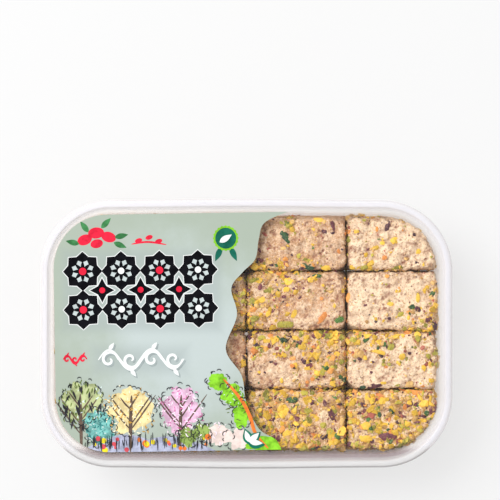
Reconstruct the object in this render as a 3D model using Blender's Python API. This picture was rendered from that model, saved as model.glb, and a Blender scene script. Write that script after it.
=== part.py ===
"""A shut clear tub of pistachio halva, cut into sixteen blocks, with a press-on lid and a label.

The tub lies on its base. X runs along its long side, Y along its short side, and Z is up.
The origin is at the middle of the base. All sizes are in metres.
"""

import math
import random

import bmesh
import bpy
from mathutils import Matrix, Vector, noise

MM = 0.001

# Outer size of the lid, seen from above
LID_LENGTH = 165.0 * MM
LID_WIDTH = 108.0 * MM
CORNER_RADIUS = 28.5 * MM
LONG_SIDE_BOW = 0.5 * MM

# Heights above the base
FOOT_RECESS = 0.6 * MM
FLOOR_TOP = 1.3 * MM
FLANGE_TOP = 28.4 * MM
TUB_RIM_TOP = 30.0 * MM
LID_SKIRT_FOOT = 24.5 * MM
LID_PANEL_TOP = 29.4 * MM
LID_TOP = 31.0 * MM

# Plastic
PLASTIC = 0.7 * MM
WALL_DRAFT = math.radians(3.5)
BASE_FILLET = 4.0 * MM
FOOT_WIDTH = 2.4 * MM
TUB_WALL_INSET = 4.3 * MM
LID_CLEARANCE = 0.4 * MM
SNAP_LIP_DROP = 3.2 * MM
RIM_WIDTH = 1.2 * MM
SOFT_EDGE = 0.3 * MM
BEAD_ROUND = 0.9 * MM
BEAD_WIDTH = 3.1 * MM
PANEL_INSET = 3.9 * MM
GATE_RADIUS = 0.6 * MM
GATE_HEIGHT = 0.25 * MM

# Label, which lies a little askew and a little high on the lid
LABEL_LEFT_INSET = 5.7 * MM
LABEL_HALF_WIDTH = 47.6 * MM
LABEL_CORNER = 21.6 * MM
LABEL_TURN = math.radians(0.9)
LABEL_RAISE = 1.05 * MM
LABEL_THICKNESS = 0.2 * MM
QUARTER_CIRCLE_HANDLE = 0.5523
WAVE_POINTS_MM = (
    (13.3, -47.6), (11.0, -43.5), (4.4, -39.1), (-0.5, -28.5), (-2.2, -17.7), (-8.4, -7.0),
    (-3.7, 6.5), (-5.8, 17.2), (-1.3, 23.5), (4.0, 28.9), (5.5, 36.6), (7.9, 43.3), (17.2, 47.6),
)
TOUCH_GAP = 0.3 * MM

# Halva: where the cuts between its four columns and four rows run, and its crumbly surface
HALVA_TOP = 25.4 * MM
COLUMN_CUTS = (-40.4 * MM, 0.0, 40.4 * MM)
ROW_CUTS = (25.1 * MM, 1.0 * MM, -22.75 * MM)
HALVA_HALF_WIDTH = 47.75 * MM
CUT_GAP = 0.7 * MM
WALL_GAP = 0.4 * MM
CORNER_RADII = (1.4 * MM, 3.0 * MM)
TOP_DROP = 0.5 * MM
CRUMBLE_DEPTH = 0.4 * MM
CRUMBLE_LENGTH = 4.2 * MM
RELIEF_HEIGHT = 0.7 * MM
RELIEF_LENGTH = 6.6 * MM
NUT_ROWS = 3
NUT_COLUMNS = 3
NUT_EDGE_ROOM = 1.0 * MM
NUT_LENGTHS_MM = (1.9, 5.2)
SEED = 23

# The largest nut pieces of the blocks that show, by row and column: place, length, width, turn in degrees
LARGEST_NUTS_MM = {
    (0, 2): (
        (15.6, 39.2, 7.0, 2.9, -62), (24.6, 26.8, 5.4, 2.4, -20), (31.8, 26.6, 4.0, 2.4, -10),
        (29.1, 45.7, 4.5, 2.0, -5), (34.7, 43.5, 4.0, 2.1, -75), (18.6, 41.7, 3.2, 2.4, -60),
        (16.1, 44.1, 3.0, 1.6, 20), (31.5, 41.0, 2.4, 1.9, -30), (15.7, 30.0, 2.1, 1.9, 0),
    ),
    (0, 3): (
        (59.4, 37.4, 3.6, 2.4, 40), (56.8, 43.2, 4.3, 2.0, 80), (61.5, 26.8, 4.3, 1.8, 0),
        (47.5, 26.7, 3.2, 2.0, 10), (41.4, 38.1, 3.0, 2.0, 70), (52.2, 34.5, 2.8, 1.9, 20),
        (42.8, 26.7, 2.4, 1.9, 0), (55.6, 30.6, 2.2, 1.8, 20), (44.3, 41.1, 2.0, 1.7, 0),
    ),
    (1, 2): (
        (15.5, 3.6, 7.0, 2.8, 3), (30.8, 6.5, 7.4, 2.4, 51), (37.5, 5.4, 4.0, 2.4, 20),
        (16.9, 21.1, 3.4, 2.8, 20), (19.1, 7.9, 4.0, 2.0, 70), (8.9, 17.1, 4.0, 1.7, 0),
        (6.2, 13.5, 3.0, 2.2, 30), (28.3, 23.1, 3.8, 1.7, 0), (1.0, 22.3, 3.4, 1.8, 60),
    ),
    (1, 3): (
        (75.4, 3.4, 3.9, 3.2, -45), (41.3, 14.4, 4.3, 2.3, 80), (69.5, 9.7, 4.0, 2.0, -30),
        (69.1, 14.1, 4.3, 1.8, 85), (73.0, 5.4, 3.2, 2.0, 20), (74.8, 15.7, 3.0, 2.0, 60),
        (62.2, 7.6, 2.8, 2.0, 20), (58.2, 11.8, 2.4, 1.6, 0), (56.5, 23.0, 2.0, 1.3, 0),
    ),
    (2, 2): (
        (6.1, -1.8, 3.2, 2.0, 20), (34.4, -10.3, 2.8, 2.2, 50), (34.0, -3.9, 3.0, 2.0, 0),
        (25.2, -13.9, 3.6, 1.6, 10), (23.1, -11.1, 3.0, 1.8, -50), (8.0, -6.1, 2.5, 2.1, 80),
        (9.7, -1.0, 2.4, 2.0, 0), (19.4, -13.6, 2.3, 1.6, 10), (35.6, -13.3, 2.0, 1.8, 0),
    ),
    (2, 3): (
        (51.6, -21.0, 7.8, 2.0, 8), (53.3, -7.5, 6.0, 1.8, -12), (45.5, -0.7, 3.9, 2.5, 15),
        (44.1, -3.5, 3.9, 2.4, 10), (65.6, -20.5, 3.6, 2.4, 10), (58.1, -5.4, 3.4, 2.5, 60),
        (69.1, -0.6, 2.9, 2.4, -30), (62.8, -9.3, 2.9, 2.4, 40), (64.7, -0.0, 2.5, 2.2, 80),
    ),
    (3, 2): (
        (34.5, -33.1, 6.0, 2.5, -68), (16.5, -40.3, 4.3, 2.8, 30), (23.4, -32.1, 4.8, 2.4, -70),
        (18.5, -26.8, 4.6, 2.4, 5), (36.3, -29.4, 6.4, 1.7, -65), (36.3, -41.3, 3.2, 2.9, 0),
        (25.9, -27.0, 3.4, 2.6, 0), (14.3, -38.5, 3.4, 2.2, 50), (11.7, -32.7, 3.6, 2.0, -60),
    ),
    (3, 3): (
        (56.7, -41.7, 7.2, 3.6, 8), (68.2, -23.8, 9.2, 2.0, -3), (48.0, -42.4, 5.4, 3.2, -10),
        (48.7, -32.7, 5.7, 3.0, -15), (75.0, -31.3, 4.6, 3.2, 80), (48.0, -37.4, 4.0, 3.0, 20),
        (53.3, -25.7, 4.0, 2.7, 10), (42.5, -44.7, 4.3, 2.4, -10), (49.3, -25.9, 3.4, 3.0, 0),
    ),
}


# Outlines

def ring_points(half_x, half_y, radius, bow=0.0, corner_steps=7, long_steps=4, short_steps=1):
    """A rounded rectangle about the origin, anticlockwise, whose long sides bow outwards."""
    flat_x = half_x - radius
    flat_y = half_y - bow - radius
    points = []
    for quarter, (sign_x, sign_y) in enumerate(((1, 1), (-1, 1), (-1, -1), (1, -1))):
        for step in range(corner_steps + 1):
            angle = (quarter + step / corner_steps) * math.pi / 2
            points.append((
                sign_x * flat_x + radius * math.cos(angle),
                sign_y * flat_y + radius * math.sin(angle),
            ))
        steps = long_steps if quarter % 2 == 0 else short_steps
        for step in range(1, steps):
            along = 1 - 2 * step / steps
            if quarter % 2 == 0:
                bulge = bow * math.cos(along * math.pi / 2) ** 2
                points.append((sign_x * along * flat_x, sign_y * (flat_y + radius + bulge)))
            else:
                points.append((sign_x * half_x, sign_y * along * flat_y))
    return points


def pack_ring(inset, z):
    """The lid's outline, moved inwards by inset, at height z."""
    flat = ring_points(
        LID_LENGTH / 2 - inset,
        LID_WIDTH / 2 - inset,
        CORNER_RADIUS - inset,
        LONG_SIDE_BOW,
    )
    return [Vector((x, y, z)) for x, y in flat]


# Solids

def new_object(name, bm, material, collection):
    """Puts a bmesh into a named object, shaded smooth up to its sharp edges."""
    bmesh.ops.recalc_face_normals(bm, faces=bm.faces)
    mesh = bpy.data.meshes.new(name)
    bm.to_mesh(mesh)
    bm.free()
    mesh.shade_smooth()
    mesh.set_sharp_from_angle(angle=math.radians(35))
    mesh.materials.append(material)
    obj = bpy.data.objects.new(name, mesh)
    collection.objects.link(obj)
    return obj


def loft(rings):
    """A closed bmesh through rings of equal length, capped by the first and the last."""
    bm = bmesh.new()
    loops = [[bm.verts.new(point) for point in ring] for ring in rings]
    count = len(loops[0])
    for low, high in zip(loops, loops[1:]):
        for i in range(count):
            j = (i + 1) % count
            bm.faces.new((low[i], low[j], high[j], high[i]))
    caps = [bm.faces.new(reversed(loops[0])), bm.faces.new(loops[-1])]
    bmesh.ops.triangulate(bm, faces=caps)
    return bm


def fuse(obj, helpers):
    """Joins every object of the helper collection to obj, and removes them."""
    union = obj.modifiers.new("union", "BOOLEAN")
    union.operation = "UNION"
    union.operand_type = "COLLECTION"
    union.collection = helpers
    union.solver = "MANIFOLD"
    bpy.context.view_layer.update()
    graph = bpy.context.evaluated_depsgraph_get()
    joined = bpy.data.meshes.new_from_object(obj.evaluated_get(graph))
    obj.modifiers.clear()
    joined.name = obj.name
    obj.data = joined
    for helper in list(helpers.objects):
        bpy.data.objects.remove(helper)


def wall_inset(z, extra=0.0):
    """Inset of the tub's outer wall at height z, with extra added for its inner face."""
    return TUB_WALL_INSET + extra + (FLANGE_TOP - PLASTIC - z) * math.tan(WALL_DRAFT)


def fillet(inset, z, radius, steps=4):
    """Profile points round the tub's lower edge, from the flat base up to the wall."""
    points = []
    for step in range(steps + 1):
        angle = step / steps * math.pi / 2
        points.append((inset + radius * (1 - math.sin(angle)), z + radius * (1 - math.cos(angle))))
    return points


def make_tub(material, collection):
    """The thin-walled tub: foot ring, base fillet, sloped wall, flange and snap rim."""
    lip_foot = TUB_RIM_TOP - SNAP_LIP_DROP
    flange_foot = FLANGE_TOP - PLASTIC
    base_inset = wall_inset(BASE_FILLET)
    foot_inner = base_inset + BASE_FILLET + FOOT_WIDTH
    outer = [(foot_inner + FOOT_RECESS, FOOT_RECESS), (foot_inner, 0.0)]
    outer += fillet(base_inset, 0.0, BASE_FILLET)
    rim_outer = PLASTIC + LID_CLEARANCE
    rim_inner = rim_outer + RIM_WIDTH
    rim = [
        (TUB_WALL_INSET, flange_foot),
        (rim_outer + PLASTIC, flange_foot),
        (rim_outer + PLASTIC, lip_foot),
        (rim_outer, lip_foot),
        (rim_outer, TUB_RIM_TOP - SOFT_EDGE),
        (rim_outer + SOFT_EDGE, TUB_RIM_TOP),
        (rim_inner - SOFT_EDGE, TUB_RIM_TOP),
        (rim_inner, FLANGE_TOP),
        (TUB_WALL_INSET + PLASTIC, FLANGE_TOP),
    ]
    inner_radius = BASE_FILLET - PLASTIC
    inner = fillet(wall_inset(FLOOR_TOP + inner_radius, PLASTIC), FLOOR_TOP, inner_radius)
    profile = outer + rim + inner[::-1]
    return new_object("tub", loft([pack_ring(*point) for point in profile]), material, collection)


def gate_mark():
    """The small round mark that moulding leaves in the middle of the lid's panel."""
    bm = bmesh.new()
    bmesh.ops.create_cone(
        bm, cap_ends=True, segments=12, radius1=GATE_RADIUS, radius2=0.7 * GATE_RADIUS, depth=2 * GATE_HEIGHT
    )
    bmesh.ops.translate(bm, verts=bm.verts, vec=(0.0, 0.0, LID_PANEL_TOP))
    mesh = bpy.data.meshes.new("gate_mark")
    bm.to_mesh(mesh)
    bm.free()
    return bpy.data.objects.new("gate_mark", mesh)


def make_lid(material, collection, helpers):
    """The press-on lid: a skirt, a raised bead over the tub's rim, and a flat panel with a gate mark."""
    bead_top = LID_TOP - SOFT_EDGE
    groove_top = LID_TOP - PLASTIC
    groove_inner = BEAD_WIDTH - PLASTIC / 2
    profile = [
        (groove_inner + SOFT_EDGE, LID_PANEL_TOP - PLASTIC),
        (groove_inner, groove_top - SOFT_EDGE),
        (groove_inner - SOFT_EDGE, groove_top),
        (PLASTIC + SOFT_EDGE, groove_top),
        (PLASTIC, groove_top - SOFT_EDGE),
        (PLASTIC, LID_SKIRT_FOOT),
        (0.0, LID_SKIRT_FOOT),
        (0.0, LID_TOP - BEAD_ROUND),
        (SOFT_EDGE, bead_top),
        (BEAD_ROUND, LID_TOP),
        (BEAD_WIDTH - 2 * SOFT_EDGE, LID_TOP),
        (BEAD_WIDTH, bead_top),
        (PANEL_INSET - SOFT_EDGE, LID_PANEL_TOP + SOFT_EDGE),
        (PANEL_INSET, LID_PANEL_TOP),
    ]
    lid = new_object("lid", loft([pack_ring(*point) for point in profile]), material, collection)
    helpers.objects.link(gate_mark())
    fuse(lid, helpers)
    return lid


# Label

def add_corner(points, start, end, before, after):
    """Sets two curve points to a quarter circle from start to end, leaving along before."""
    reach = LABEL_CORNER * QUARTER_CIRCLE_HANDLE
    for point, at, tangent in zip(points, (start, end), (before, after)):
        point.handle_left_type = point.handle_right_type = "FREE"
        point.co = Vector((*at, 0.0))
        point.handle_left = point.co - Vector((*tangent, 0.0)) * reach
        point.handle_right = point.co + Vector((*tangent, 0.0)) * reach
    points[0].handle_left_type = "VECTOR"
    points[1].handle_right_type = "VECTOR"


def make_label(material, collection):
    """The printed film: two rounded corners on the left and a wavy cut edge on the right."""
    left = LABEL_LEFT_INSET - LID_LENGTH / 2
    half_y = LABEL_HALF_WIDTH
    curve = bpy.data.curves.new("label", "CURVE")
    curve.dimensions = "2D"
    curve.fill_mode = "BOTH"
    curve.resolution_u = 3
    curve.extrude = LABEL_THICKNESS / 2
    spline = curve.splines.new("BEZIER")
    spline.use_cyclic_u = True
    wave_count = len(WAVE_POINTS_MM)
    spline.bezier_points.add(wave_count + 3)
    for point, (x, y) in zip(spline.bezier_points, WAVE_POINTS_MM):
        point.co = (x * MM, y * MM, 0.0)
        point.handle_left_type = point.handle_right_type = "AUTO"
    for end in (0, wave_count - 1):
        spline.bezier_points[end].handle_left_type = "VECTOR"
        spline.bezier_points[end].handle_right_type = "VECTOR"
    add_corner(
        spline.bezier_points[wave_count:wave_count + 2],
        (left + LABEL_CORNER, half_y), (left, half_y - LABEL_CORNER), (-1, 0), (0, -1),
    )
    add_corner(
        spline.bezier_points[wave_count + 2:wave_count + 4],
        (left, LABEL_CORNER - half_y), (left + LABEL_CORNER, -half_y), (0, -1), (1, 0),
    )
    obj = bpy.data.objects.new("label", curve)
    obj.location = (0.0, LABEL_RAISE, LID_PANEL_TOP + TOUCH_GAP + LABEL_THICKNESS / 2)
    obj.rotation_euler.z = LABEL_TURN
    curve.materials.append(material)
    collection.objects.link(obj)
    return obj


# Halva

def box_distance(x, y, half_x, half_y, radius):
    """Signed distance from a point to a rounded rectangle about the origin."""
    over_x = abs(x) - half_x + radius
    over_y = abs(y) - half_y + radius
    outside = math.hypot(max(over_x, 0.0), max(over_y, 0.0))
    return outside + min(max(over_x, over_y), 0.0) - radius


def rounded_overlap(first, second, radius):
    """Signed distance to what two shapes share, with the corners between them rounded."""
    outside = math.hypot(max(first + radius, 0.0), max(second + radius, 0.0))
    return min(max(first, second), -radius) + outside


def halva_edge(z):
    """Inset, from the lid's outline, of the pressed halva's outer face at height z."""
    radius = BASE_FILLET - PLASTIC
    foot = FLOOR_TOP + TOUCH_GAP
    inset = wall_inset(z, PLASTIC) + WALL_GAP
    if z < foot + radius:
        below = min((foot + radius - z) / radius, 1.0)
        inset += radius * (1 - math.sqrt(1 - below ** 2))
    return inset


def block_distance(x, y, z, cell, radius):
    """Signed distance, at height z, to a cell's part of the halva."""
    left, right, low, high = cell
    inset = halva_edge(z)
    in_cell = box_distance(
        x - (left + right) / 2, y - (low + high) / 2, (right - left) / 2, (high - low) / 2, radius
    )
    in_tub = box_distance(
        x, y, LID_LENGTH / 2 - inset, LID_WIDTH / 2 - LONG_SIDE_BOW - inset, CORNER_RADIUS - inset
    )
    return rounded_overlap(in_cell, in_tub, radius)


def block_cell(column, row):
    """Left, right, low and high edges of a block's cell; past the tub's end walls, it has room to spare."""
    spare = 2 * BASE_FILLET
    half_gap = CUT_GAP / 2
    columns = (-LID_LENGTH / 2 - spare, *COLUMN_CUTS, LID_LENGTH / 2 + spare)
    rows = (HALVA_HALF_WIDTH + half_gap, *ROW_CUTS, -HALVA_HALF_WIDTH - half_gap)
    return (
        columns[column] + half_gap, columns[column + 1] - half_gap,
        rows[row + 1] + half_gap, rows[row] - half_gap,
    )


def visible_cell(cell):
    """The part of a block's cell that lies inside the tub."""
    inset = halva_edge(HALVA_TOP)
    half_x = LID_LENGTH / 2 - inset
    half_y = LID_WIDTH / 2 - inset
    left, right, low, high = cell
    return max(left, -half_x), min(right, half_x), max(low, -half_y), min(high, half_y)


def reach_along(ray, middle, cell, radius, shrink, halvings=24):
    """The point along a ray, from a block's middle, where the shrunk block ends."""
    near, far = 0.0, 1.5
    for _ in range(halvings):
        guess = (near + far) / 2
        point = middle + ray * guess
        if block_distance(point.x, point.y, point.z, cell, radius) + shrink < 0:
            near = guess
        else:
            far = guess
    return middle + ray * near


def block_ring(cell, radius, z, shrink, crumble, relief):
    """One horizontal ring of a block, anticlockwise, with its crumbled unevenness."""
    left, right, low, high = visible_cell(cell)
    middle = Vector(((left + right) / 2, (low + high) / 2, z))
    rays = ring_points(
        (right - left) / 2, (high - low) / 2, radius, corner_steps=2, long_steps=5, short_steps=3
    )
    ring = []
    for x, y in rays:
        point = reach_along(Vector((x, y, 0.0)), middle, cell, radius, shrink)
        pull = crumble * (0.5 + 0.5 * noise.noise(point / CRUMBLE_LENGTH))
        drop = relief * (0.5 + 0.7 * noise.fractal(point / RELIEF_LENGTH, 1.0, 2.0, 2))
        point += (middle - point).normalized() * pull
        ring.append(point - Vector((0.0, 0.0, drop)))
    return ring


def block_solid(cell, radius, top):
    """One block as rings from its foot to its crumbly top."""
    foot = FLOOR_TOP + TOUCH_GAP
    levels = (
        (foot, 0.4 * MM, 0.0, 0.0),
        (foot + 1.6 * MM, 0.0, 0.0, 0.0),
        (top - 1.6 * MM, 0.0, CRUMBLE_DEPTH, 0.0),
        (top - 0.4 * MM, 0.6 * MM, CRUMBLE_DEPTH, 0.4 * RELIEF_HEIGHT),
        (top, 2.2 * MM, 0.0, RELIEF_HEIGHT),
        (top, 4.8 * MM, 0.0, RELIEF_HEIGHT),
        (top, 7.8 * MM, 0.0, RELIEF_HEIGHT),
    )
    return loft([
        block_ring(cell, radius, z, shrink, crumble, relief) for z, shrink, crumble, relief in levels
    ])


def nut_piece(name, at, length, width, turn, draw):
    """A chopped nut: a small faceted lump, longer than wide, half sunk in the halva."""
    bm = bmesh.new()
    bmesh.ops.create_icosphere(bm, subdivisions=1, radius=0.5)
    size = Vector((length, width, width * draw.uniform(0.6, 0.75)))
    spin = Matrix.Rotation(turn, 4, "Z")
    tilt = Matrix.Rotation(draw.uniform(-0.2, 0.2), 4, "X")
    place = Matrix.Translation(at) @ spin @ tilt @ Matrix.Diagonal((*size, 1))
    bmesh.ops.transform(bm, matrix=place, verts=bm.verts)
    mesh = bpy.data.meshes.new(name)
    bm.to_mesh(mesh)
    bm.free()
    return bpy.data.objects.new(name, mesh)


def drawn_nuts(cell, draw):
    """Nut pieces in mm and degrees for a block that the label hides, each in its own share of the top."""
    left, right, low, high = visible_cell(cell)
    shortest, longest = NUT_LENGTHS_MM
    nuts = []
    for index in range(NUT_ROWS * NUT_COLUMNS):
        share_x = (index % NUT_COLUMNS + draw.uniform(0.15, 0.85)) / NUT_COLUMNS
        share_y = (index // NUT_COLUMNS + draw.uniform(0.15, 0.85)) / NUT_ROWS
        length = shortest + (longest - shortest) * draw.random() ** 1.6
        nuts.append((
            (left + share_x * (right - left)) / MM, (low + share_y * (high - low)) / MM,
            length, length * draw.uniform(0.5, 0.8), draw.uniform(0, 360),
        ))
    return nuts


def nut_place(x, y, length, width, turn, cell, radius, top):
    """Where a nut piece lies on its block, moved off the edges where it would overhang them."""
    left, right, low, high = visible_cell(cell)
    place = Vector((x, y))
    half = Vector((math.cos(turn), math.sin(turn))) * length / 2
    ends = (place - half, place + half)
    over = max(block_distance(end.x, end.y, top, cell, radius) for end in ends)
    over += width / 2 + NUT_EDGE_ROOM
    if over > 0:
        middle = Vector(((left + right) / 2, (low + high) / 2))
        place += (middle - place).normalized() * over
    return Vector((place.x, place.y, top - RELIEF_HEIGHT / 2))


def make_block(column, row, material, collection, helpers):
    """A block of halva with its largest pistachio pieces standing out of the top."""
    name = f"halva_row{row + 1}_col{column + 1}"
    draw = random.Random(SEED + 4 * row + column)
    cell = block_cell(column, row)
    radius = draw.uniform(*CORNER_RADII)
    top = HALVA_TOP - draw.uniform(0.0, TOP_DROP)
    obj = new_object(name, block_solid(cell, radius, top), material, collection)
    nuts = LARGEST_NUTS_MM.get((row, column)) or drawn_nuts(cell, draw)
    for index, (x, y, length, width, degrees) in enumerate(nuts):
        size = (length * MM, width * MM)
        turn = math.radians(degrees)
        place = nut_place(x * MM, y * MM, *size, turn, cell, radius, top)
        helpers.objects.link(nut_piece(f"{name}_nut{index}", place, *size, turn, draw))
    fuse(obj, helpers)
    return obj


# Materials

def plastic_or_food(name, colour, roughness, alpha=1.0):
    """A plain finish with the part's own colour."""
    material = bpy.data.materials.new(name)
    material.use_nodes = True
    shader = material.node_tree.nodes["Principled BSDF"]
    shader.inputs["Base Color"].default_value = (*colour, 1.0)
    shader.inputs["Roughness"].default_value = roughness
    shader.inputs["Metallic"].default_value = 0.0
    shader.inputs["Alpha"].default_value = alpha
    return material


def main():
    for obj in list(bpy.data.objects):
        bpy.data.objects.remove(obj)
    pack = bpy.data.collections.new("halva_tub")
    helpers = bpy.data.collections.new("helpers")
    for collection in (pack, helpers):
        bpy.context.scene.collection.children.link(collection)
    helpers.hide_render = True
    clear = plastic_or_food("clear_plastic", (0.93, 0.94, 0.96), 0.15, 0.35)
    film = plastic_or_food("printed_film", (0.66, 0.74, 0.70), 0.35)
    halva = plastic_or_food("halva", (0.85, 0.68, 0.48), 0.8)
    make_tub(clear, pack)
    make_lid(clear, pack, helpers)
    make_label(film, pack)
    for row in range(4):
        for column in range(4):
            make_block(column, row, halva, pack, helpers)


main()
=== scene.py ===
"""The looks of a shut clear tub of pistachio halva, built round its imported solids.

The file is laid out as an add-on and run as a script. Lengths are in metres unless a name says MM.
The label's print is laid out in millimetres of the label's own frame.
"""

import math
import random
from collections import namedtuple

import bmesh
import bpy
import numpy as np
from bpy.props import FloatProperty, FloatVectorProperty, IntProperty, PointerProperty
from mathutils import Matrix, Vector, geometry, noise
from mathutils.bvhtree import BVHTree


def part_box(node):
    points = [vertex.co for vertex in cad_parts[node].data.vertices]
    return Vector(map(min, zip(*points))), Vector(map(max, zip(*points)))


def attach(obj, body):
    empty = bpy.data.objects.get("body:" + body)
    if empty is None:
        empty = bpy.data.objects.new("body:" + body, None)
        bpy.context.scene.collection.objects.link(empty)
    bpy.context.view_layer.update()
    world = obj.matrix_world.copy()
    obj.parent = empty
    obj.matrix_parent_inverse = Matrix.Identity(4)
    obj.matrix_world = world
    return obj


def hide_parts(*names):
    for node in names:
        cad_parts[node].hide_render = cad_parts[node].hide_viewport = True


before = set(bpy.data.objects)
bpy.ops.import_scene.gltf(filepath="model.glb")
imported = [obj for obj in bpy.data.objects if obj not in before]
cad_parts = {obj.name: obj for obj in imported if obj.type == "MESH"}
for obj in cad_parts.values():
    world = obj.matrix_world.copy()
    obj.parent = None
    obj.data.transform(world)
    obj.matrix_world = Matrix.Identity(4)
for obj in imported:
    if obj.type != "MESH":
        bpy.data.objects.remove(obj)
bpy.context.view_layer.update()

bl_info = {
    "name": "Halva Tub",
    "version": (1, 0, 0),
    "blender": (4, 5, 0),
    "location": "View3D > Sidebar > Halva",
    "description": "Builds a shut clear tub of pistachio halva round its packed solids",
    "category": "Object",
}

MM = 0.001
LID_LOW, LID_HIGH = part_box("lid")
TUB_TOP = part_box("tub")[1].z
LABEL_LOW, LABEL_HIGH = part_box("label")
BLOCKS = [(row, column) for row in range(4) for column in range(4)]
WHITE = (1.0, 1.0, 1.0)
UP = Vector((0, 0, 1))
QUARTER = math.pi / 2
SHARP_EDGE = math.radians(40)


def mm(*lengths):
    """Metres from millimetres."""
    return [part * MM for part in lengths]


# Settings that a user would change

def length(name, description, millimetres):
    """A length setting, with its default given in millimetres."""
    return FloatProperty(
        name=name, description=description, default=millimetres * MM, unit="LENGTH", subtype="DISTANCE"
    )


def angle_of(name, description, degrees):
    """An angle setting, with its default given in degrees."""
    return FloatProperty(
        name=name, description=description, default=math.radians(degrees), subtype="ANGLE"
    )


def power(name, description, default):
    """A setting that can't be negative."""
    return FloatProperty(name=name, description=description, default=default, min=0.0)


def share(name, description, default):
    """A setting from 0 to 1."""
    return FloatProperty(
        name=name, description=description, default=default, min=0.0, max=1.0, subtype="FACTOR"
    )


def colour(name, description, default):
    """A colour setting."""
    return FloatVectorProperty(
        name=name, description=description, default=default, size=3, min=0.0, max=1.0, subtype="COLOR"
    )


class PlasticSettings(bpy.types.PropertyGroup):
    """Form and finish of the clear tub and its lid."""

    corner_radius: length("Corner Radius", "Outer radius of the lid's corners", 28.5)
    side_bow: length("Side Bow", "How far each long side bows outwards", 0.5)
    wall: length("Wall", "Thickness of the moulded plastic", 0.7)
    clearance: length("Lid Clearance", "Gap between the lid's skirt and the tub's rim", 0.4)
    base_fillet: length("Base Fillet", "Radius round the tub's lower edge", 4.0)
    foot_width: length("Foot Width", "Width of the flat foot ring", 2.4)
    foot_recess: length("Foot Recess", "How far the base is raised inside the foot ring", 0.6)
    floor_top: length("Floor Top", "Height of the tub's inner floor", 1.3)
    wall_inset: length("Wall Inset", "From the lid's edge to the top of the tub's wall", 4.3)
    flange_drop: length("Flange Drop", "From the lid's top to the tub's flange", 2.6)
    panel_drop: length("Panel Drop", "How far the lid's panel lies below its bead", 1.6)
    panel_inset: length("Panel Inset", "From the lid's edge to its sunken panel", 3.9)
    bead_width: length("Bead Width", "From the lid's edge to the bead's inner edge", 3.1)
    bead_round: length("Bead Rounding", "Radius of the bead's outer edge", 0.9)
    rim_width: length("Rim Width", "Width of the tub's upright rim", 1.2)
    lip_drop: length("Lip Drop", "Height of the rim's lip that holds the lid's skirt", 3.2)
    gate_radius: length("Gate Radius", "Radius of the moulding mark in the middle of the lid", 0.7)
    wall_draft: angle_of("Wall Draft", "How far the tub's walls lean outwards", 3.5)
    panel_haze: share("Panel Haze", "How milky the flat panel is", 0.01)
    edge_haze: share("Edge Haze", "How milky the flange and the panel's edge are", 0.2)
    rim_haze: share("Rim Haze", "How milky the rim and the bead are", 0.3)
    tint: colour("Tint", "Colour of the plastic's own haze", (0.86, 0.85, 0.91))
    warm_tint: colour("Warm Tint", "Colour of the haze round the panel's edge", (1.0, 0.93, 0.88))
    shaded_tint: colour("Shaded Tint", "Colour of the tub's flange on its shaded side", (0.36, 0.27, 0.28))


class HalvaSettings(bpy.types.PropertyGroup):
    """Form and colours of the halva blocks."""

    top: length("Halva Top", "Height of the highest blocks' tops", 25.9)
    half_width: length("Half Width", "From the pack's middle to the halva's long sides", 47.8)
    cut_gap: length("Cut Gap", "Gap between two neighbouring blocks", 0.15)
    wall_gap: length("Wall Gap", "Gap between the halva and the tub's wall", 0.15)
    touch_gap: length("Floor Gap", "Gap between the halva and the tub's floor", 0.3)
    shoulder: length("Shoulder", "Radius of a block's worn upper edges", 2.6)
    grid: length("Mesh Grid", "Spacing of the mesh on a block's top", 0.36)
    lump_depth: length("Lump Depth", "Height of the broad unevenness", 1.8)
    crumb_depth: length("Crumb Depth", "Height of the crumbs", 0.95)
    pore_depth: length("Pore Depth", "Depth of the pores", 0.6)
    fibre_depth: length("Fibre Depth", "Height of the drawn fibres", 0.35)
    seed: IntProperty(name="Seed", description="Seed of every random draw", default=23, min=0)
    cream: colour("Cream", "Palest halva", (1.0, 0.75, 0.51))
    sand: colour("Sand", "Halva between the pale lumps", (0.66, 0.37, 0.20))
    # Painted shade: the dark colour laid into the crumbs' hollows and the pores
    pore: colour("Pore", "Halva deep in its pores", (0.27, 0.10, 0.06))
    flake: colour("Flake", "The palest flakes", (1.0, 0.87, 0.68))
    # Painted shade: the dark colour laid down in the cuts between the blocks, where shade falls
    cut: colour("Cut", "The dark oily crumb down in the cuts", (0.22, 0.13, 0.07))
    stain: colour("Stain", "Halva coloured by the nuts in it", (0.68, 0.40, 0.07))


class PrintSettings(bpy.types.PropertyGroup):
    """Size and inks of the label's print."""

    turn: angle_of("Label Turn", "How far the label lies askew", 0.9)
    rise: length("Label Rise", "How far the label lies above the lid's middle", 1.05)
    half_width: length("Half Width", "Half of the label's short side", 47.6)
    corner: length("Label Corner", "Radius of the label's left corners", 21.6)
    ink: length("Ink Step", "Height of one printed layer above the next", 0.01)
    ground: colour("Ground", "The label's sage ground", (0.37, 0.43, 0.36))
    glow: colour("Glow", "The ground's lighter middle", (0.50, 0.565, 0.56))
    shade: colour("Shade", "The soft shade under the white flourish", (0.32, 0.37, 0.37))
    black: colour("Black", "The black ornament", (0.004, 0.004, 0.006))
    white: colour("White", "The white flourish and outlines", (0.80, 0.82, 0.81))
    red: colour("Red", "The red accents", (0.70, 0.02, 0.05))
    seal: colour("Seal", "The round green seal", (0.01, 0.12, 0.08))
    lime: colour("Lime", "Lime-green leaves and washes", (0.22, 0.53, 0.03))


class StageSettings(bpy.types.PropertyGroup):
    """Camera, light and floor."""

    camera_height: length("Camera Height", "Height of the camera above the lid", 800.0)
    view_width: length("View Width", "Width that the camera sees at the lid's top", 200.0)
    view_x: length("View X", "Where the picture's middle lies along X", 1.44)
    view_y: length("View Y", "Where the picture's middle lies along Y", 33.6)
    key_power: power("Key Power", "Watts of the key light", 28.5)
    sky_power: power("Sky", "Strength of the even light", 0.70)
    floor: colour("Floor", "The pale floor", (0.24, 0.24, 0.24))
    floor_glow: share("Floor Glow", "How much light the floor gives by itself", 0.645)


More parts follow.
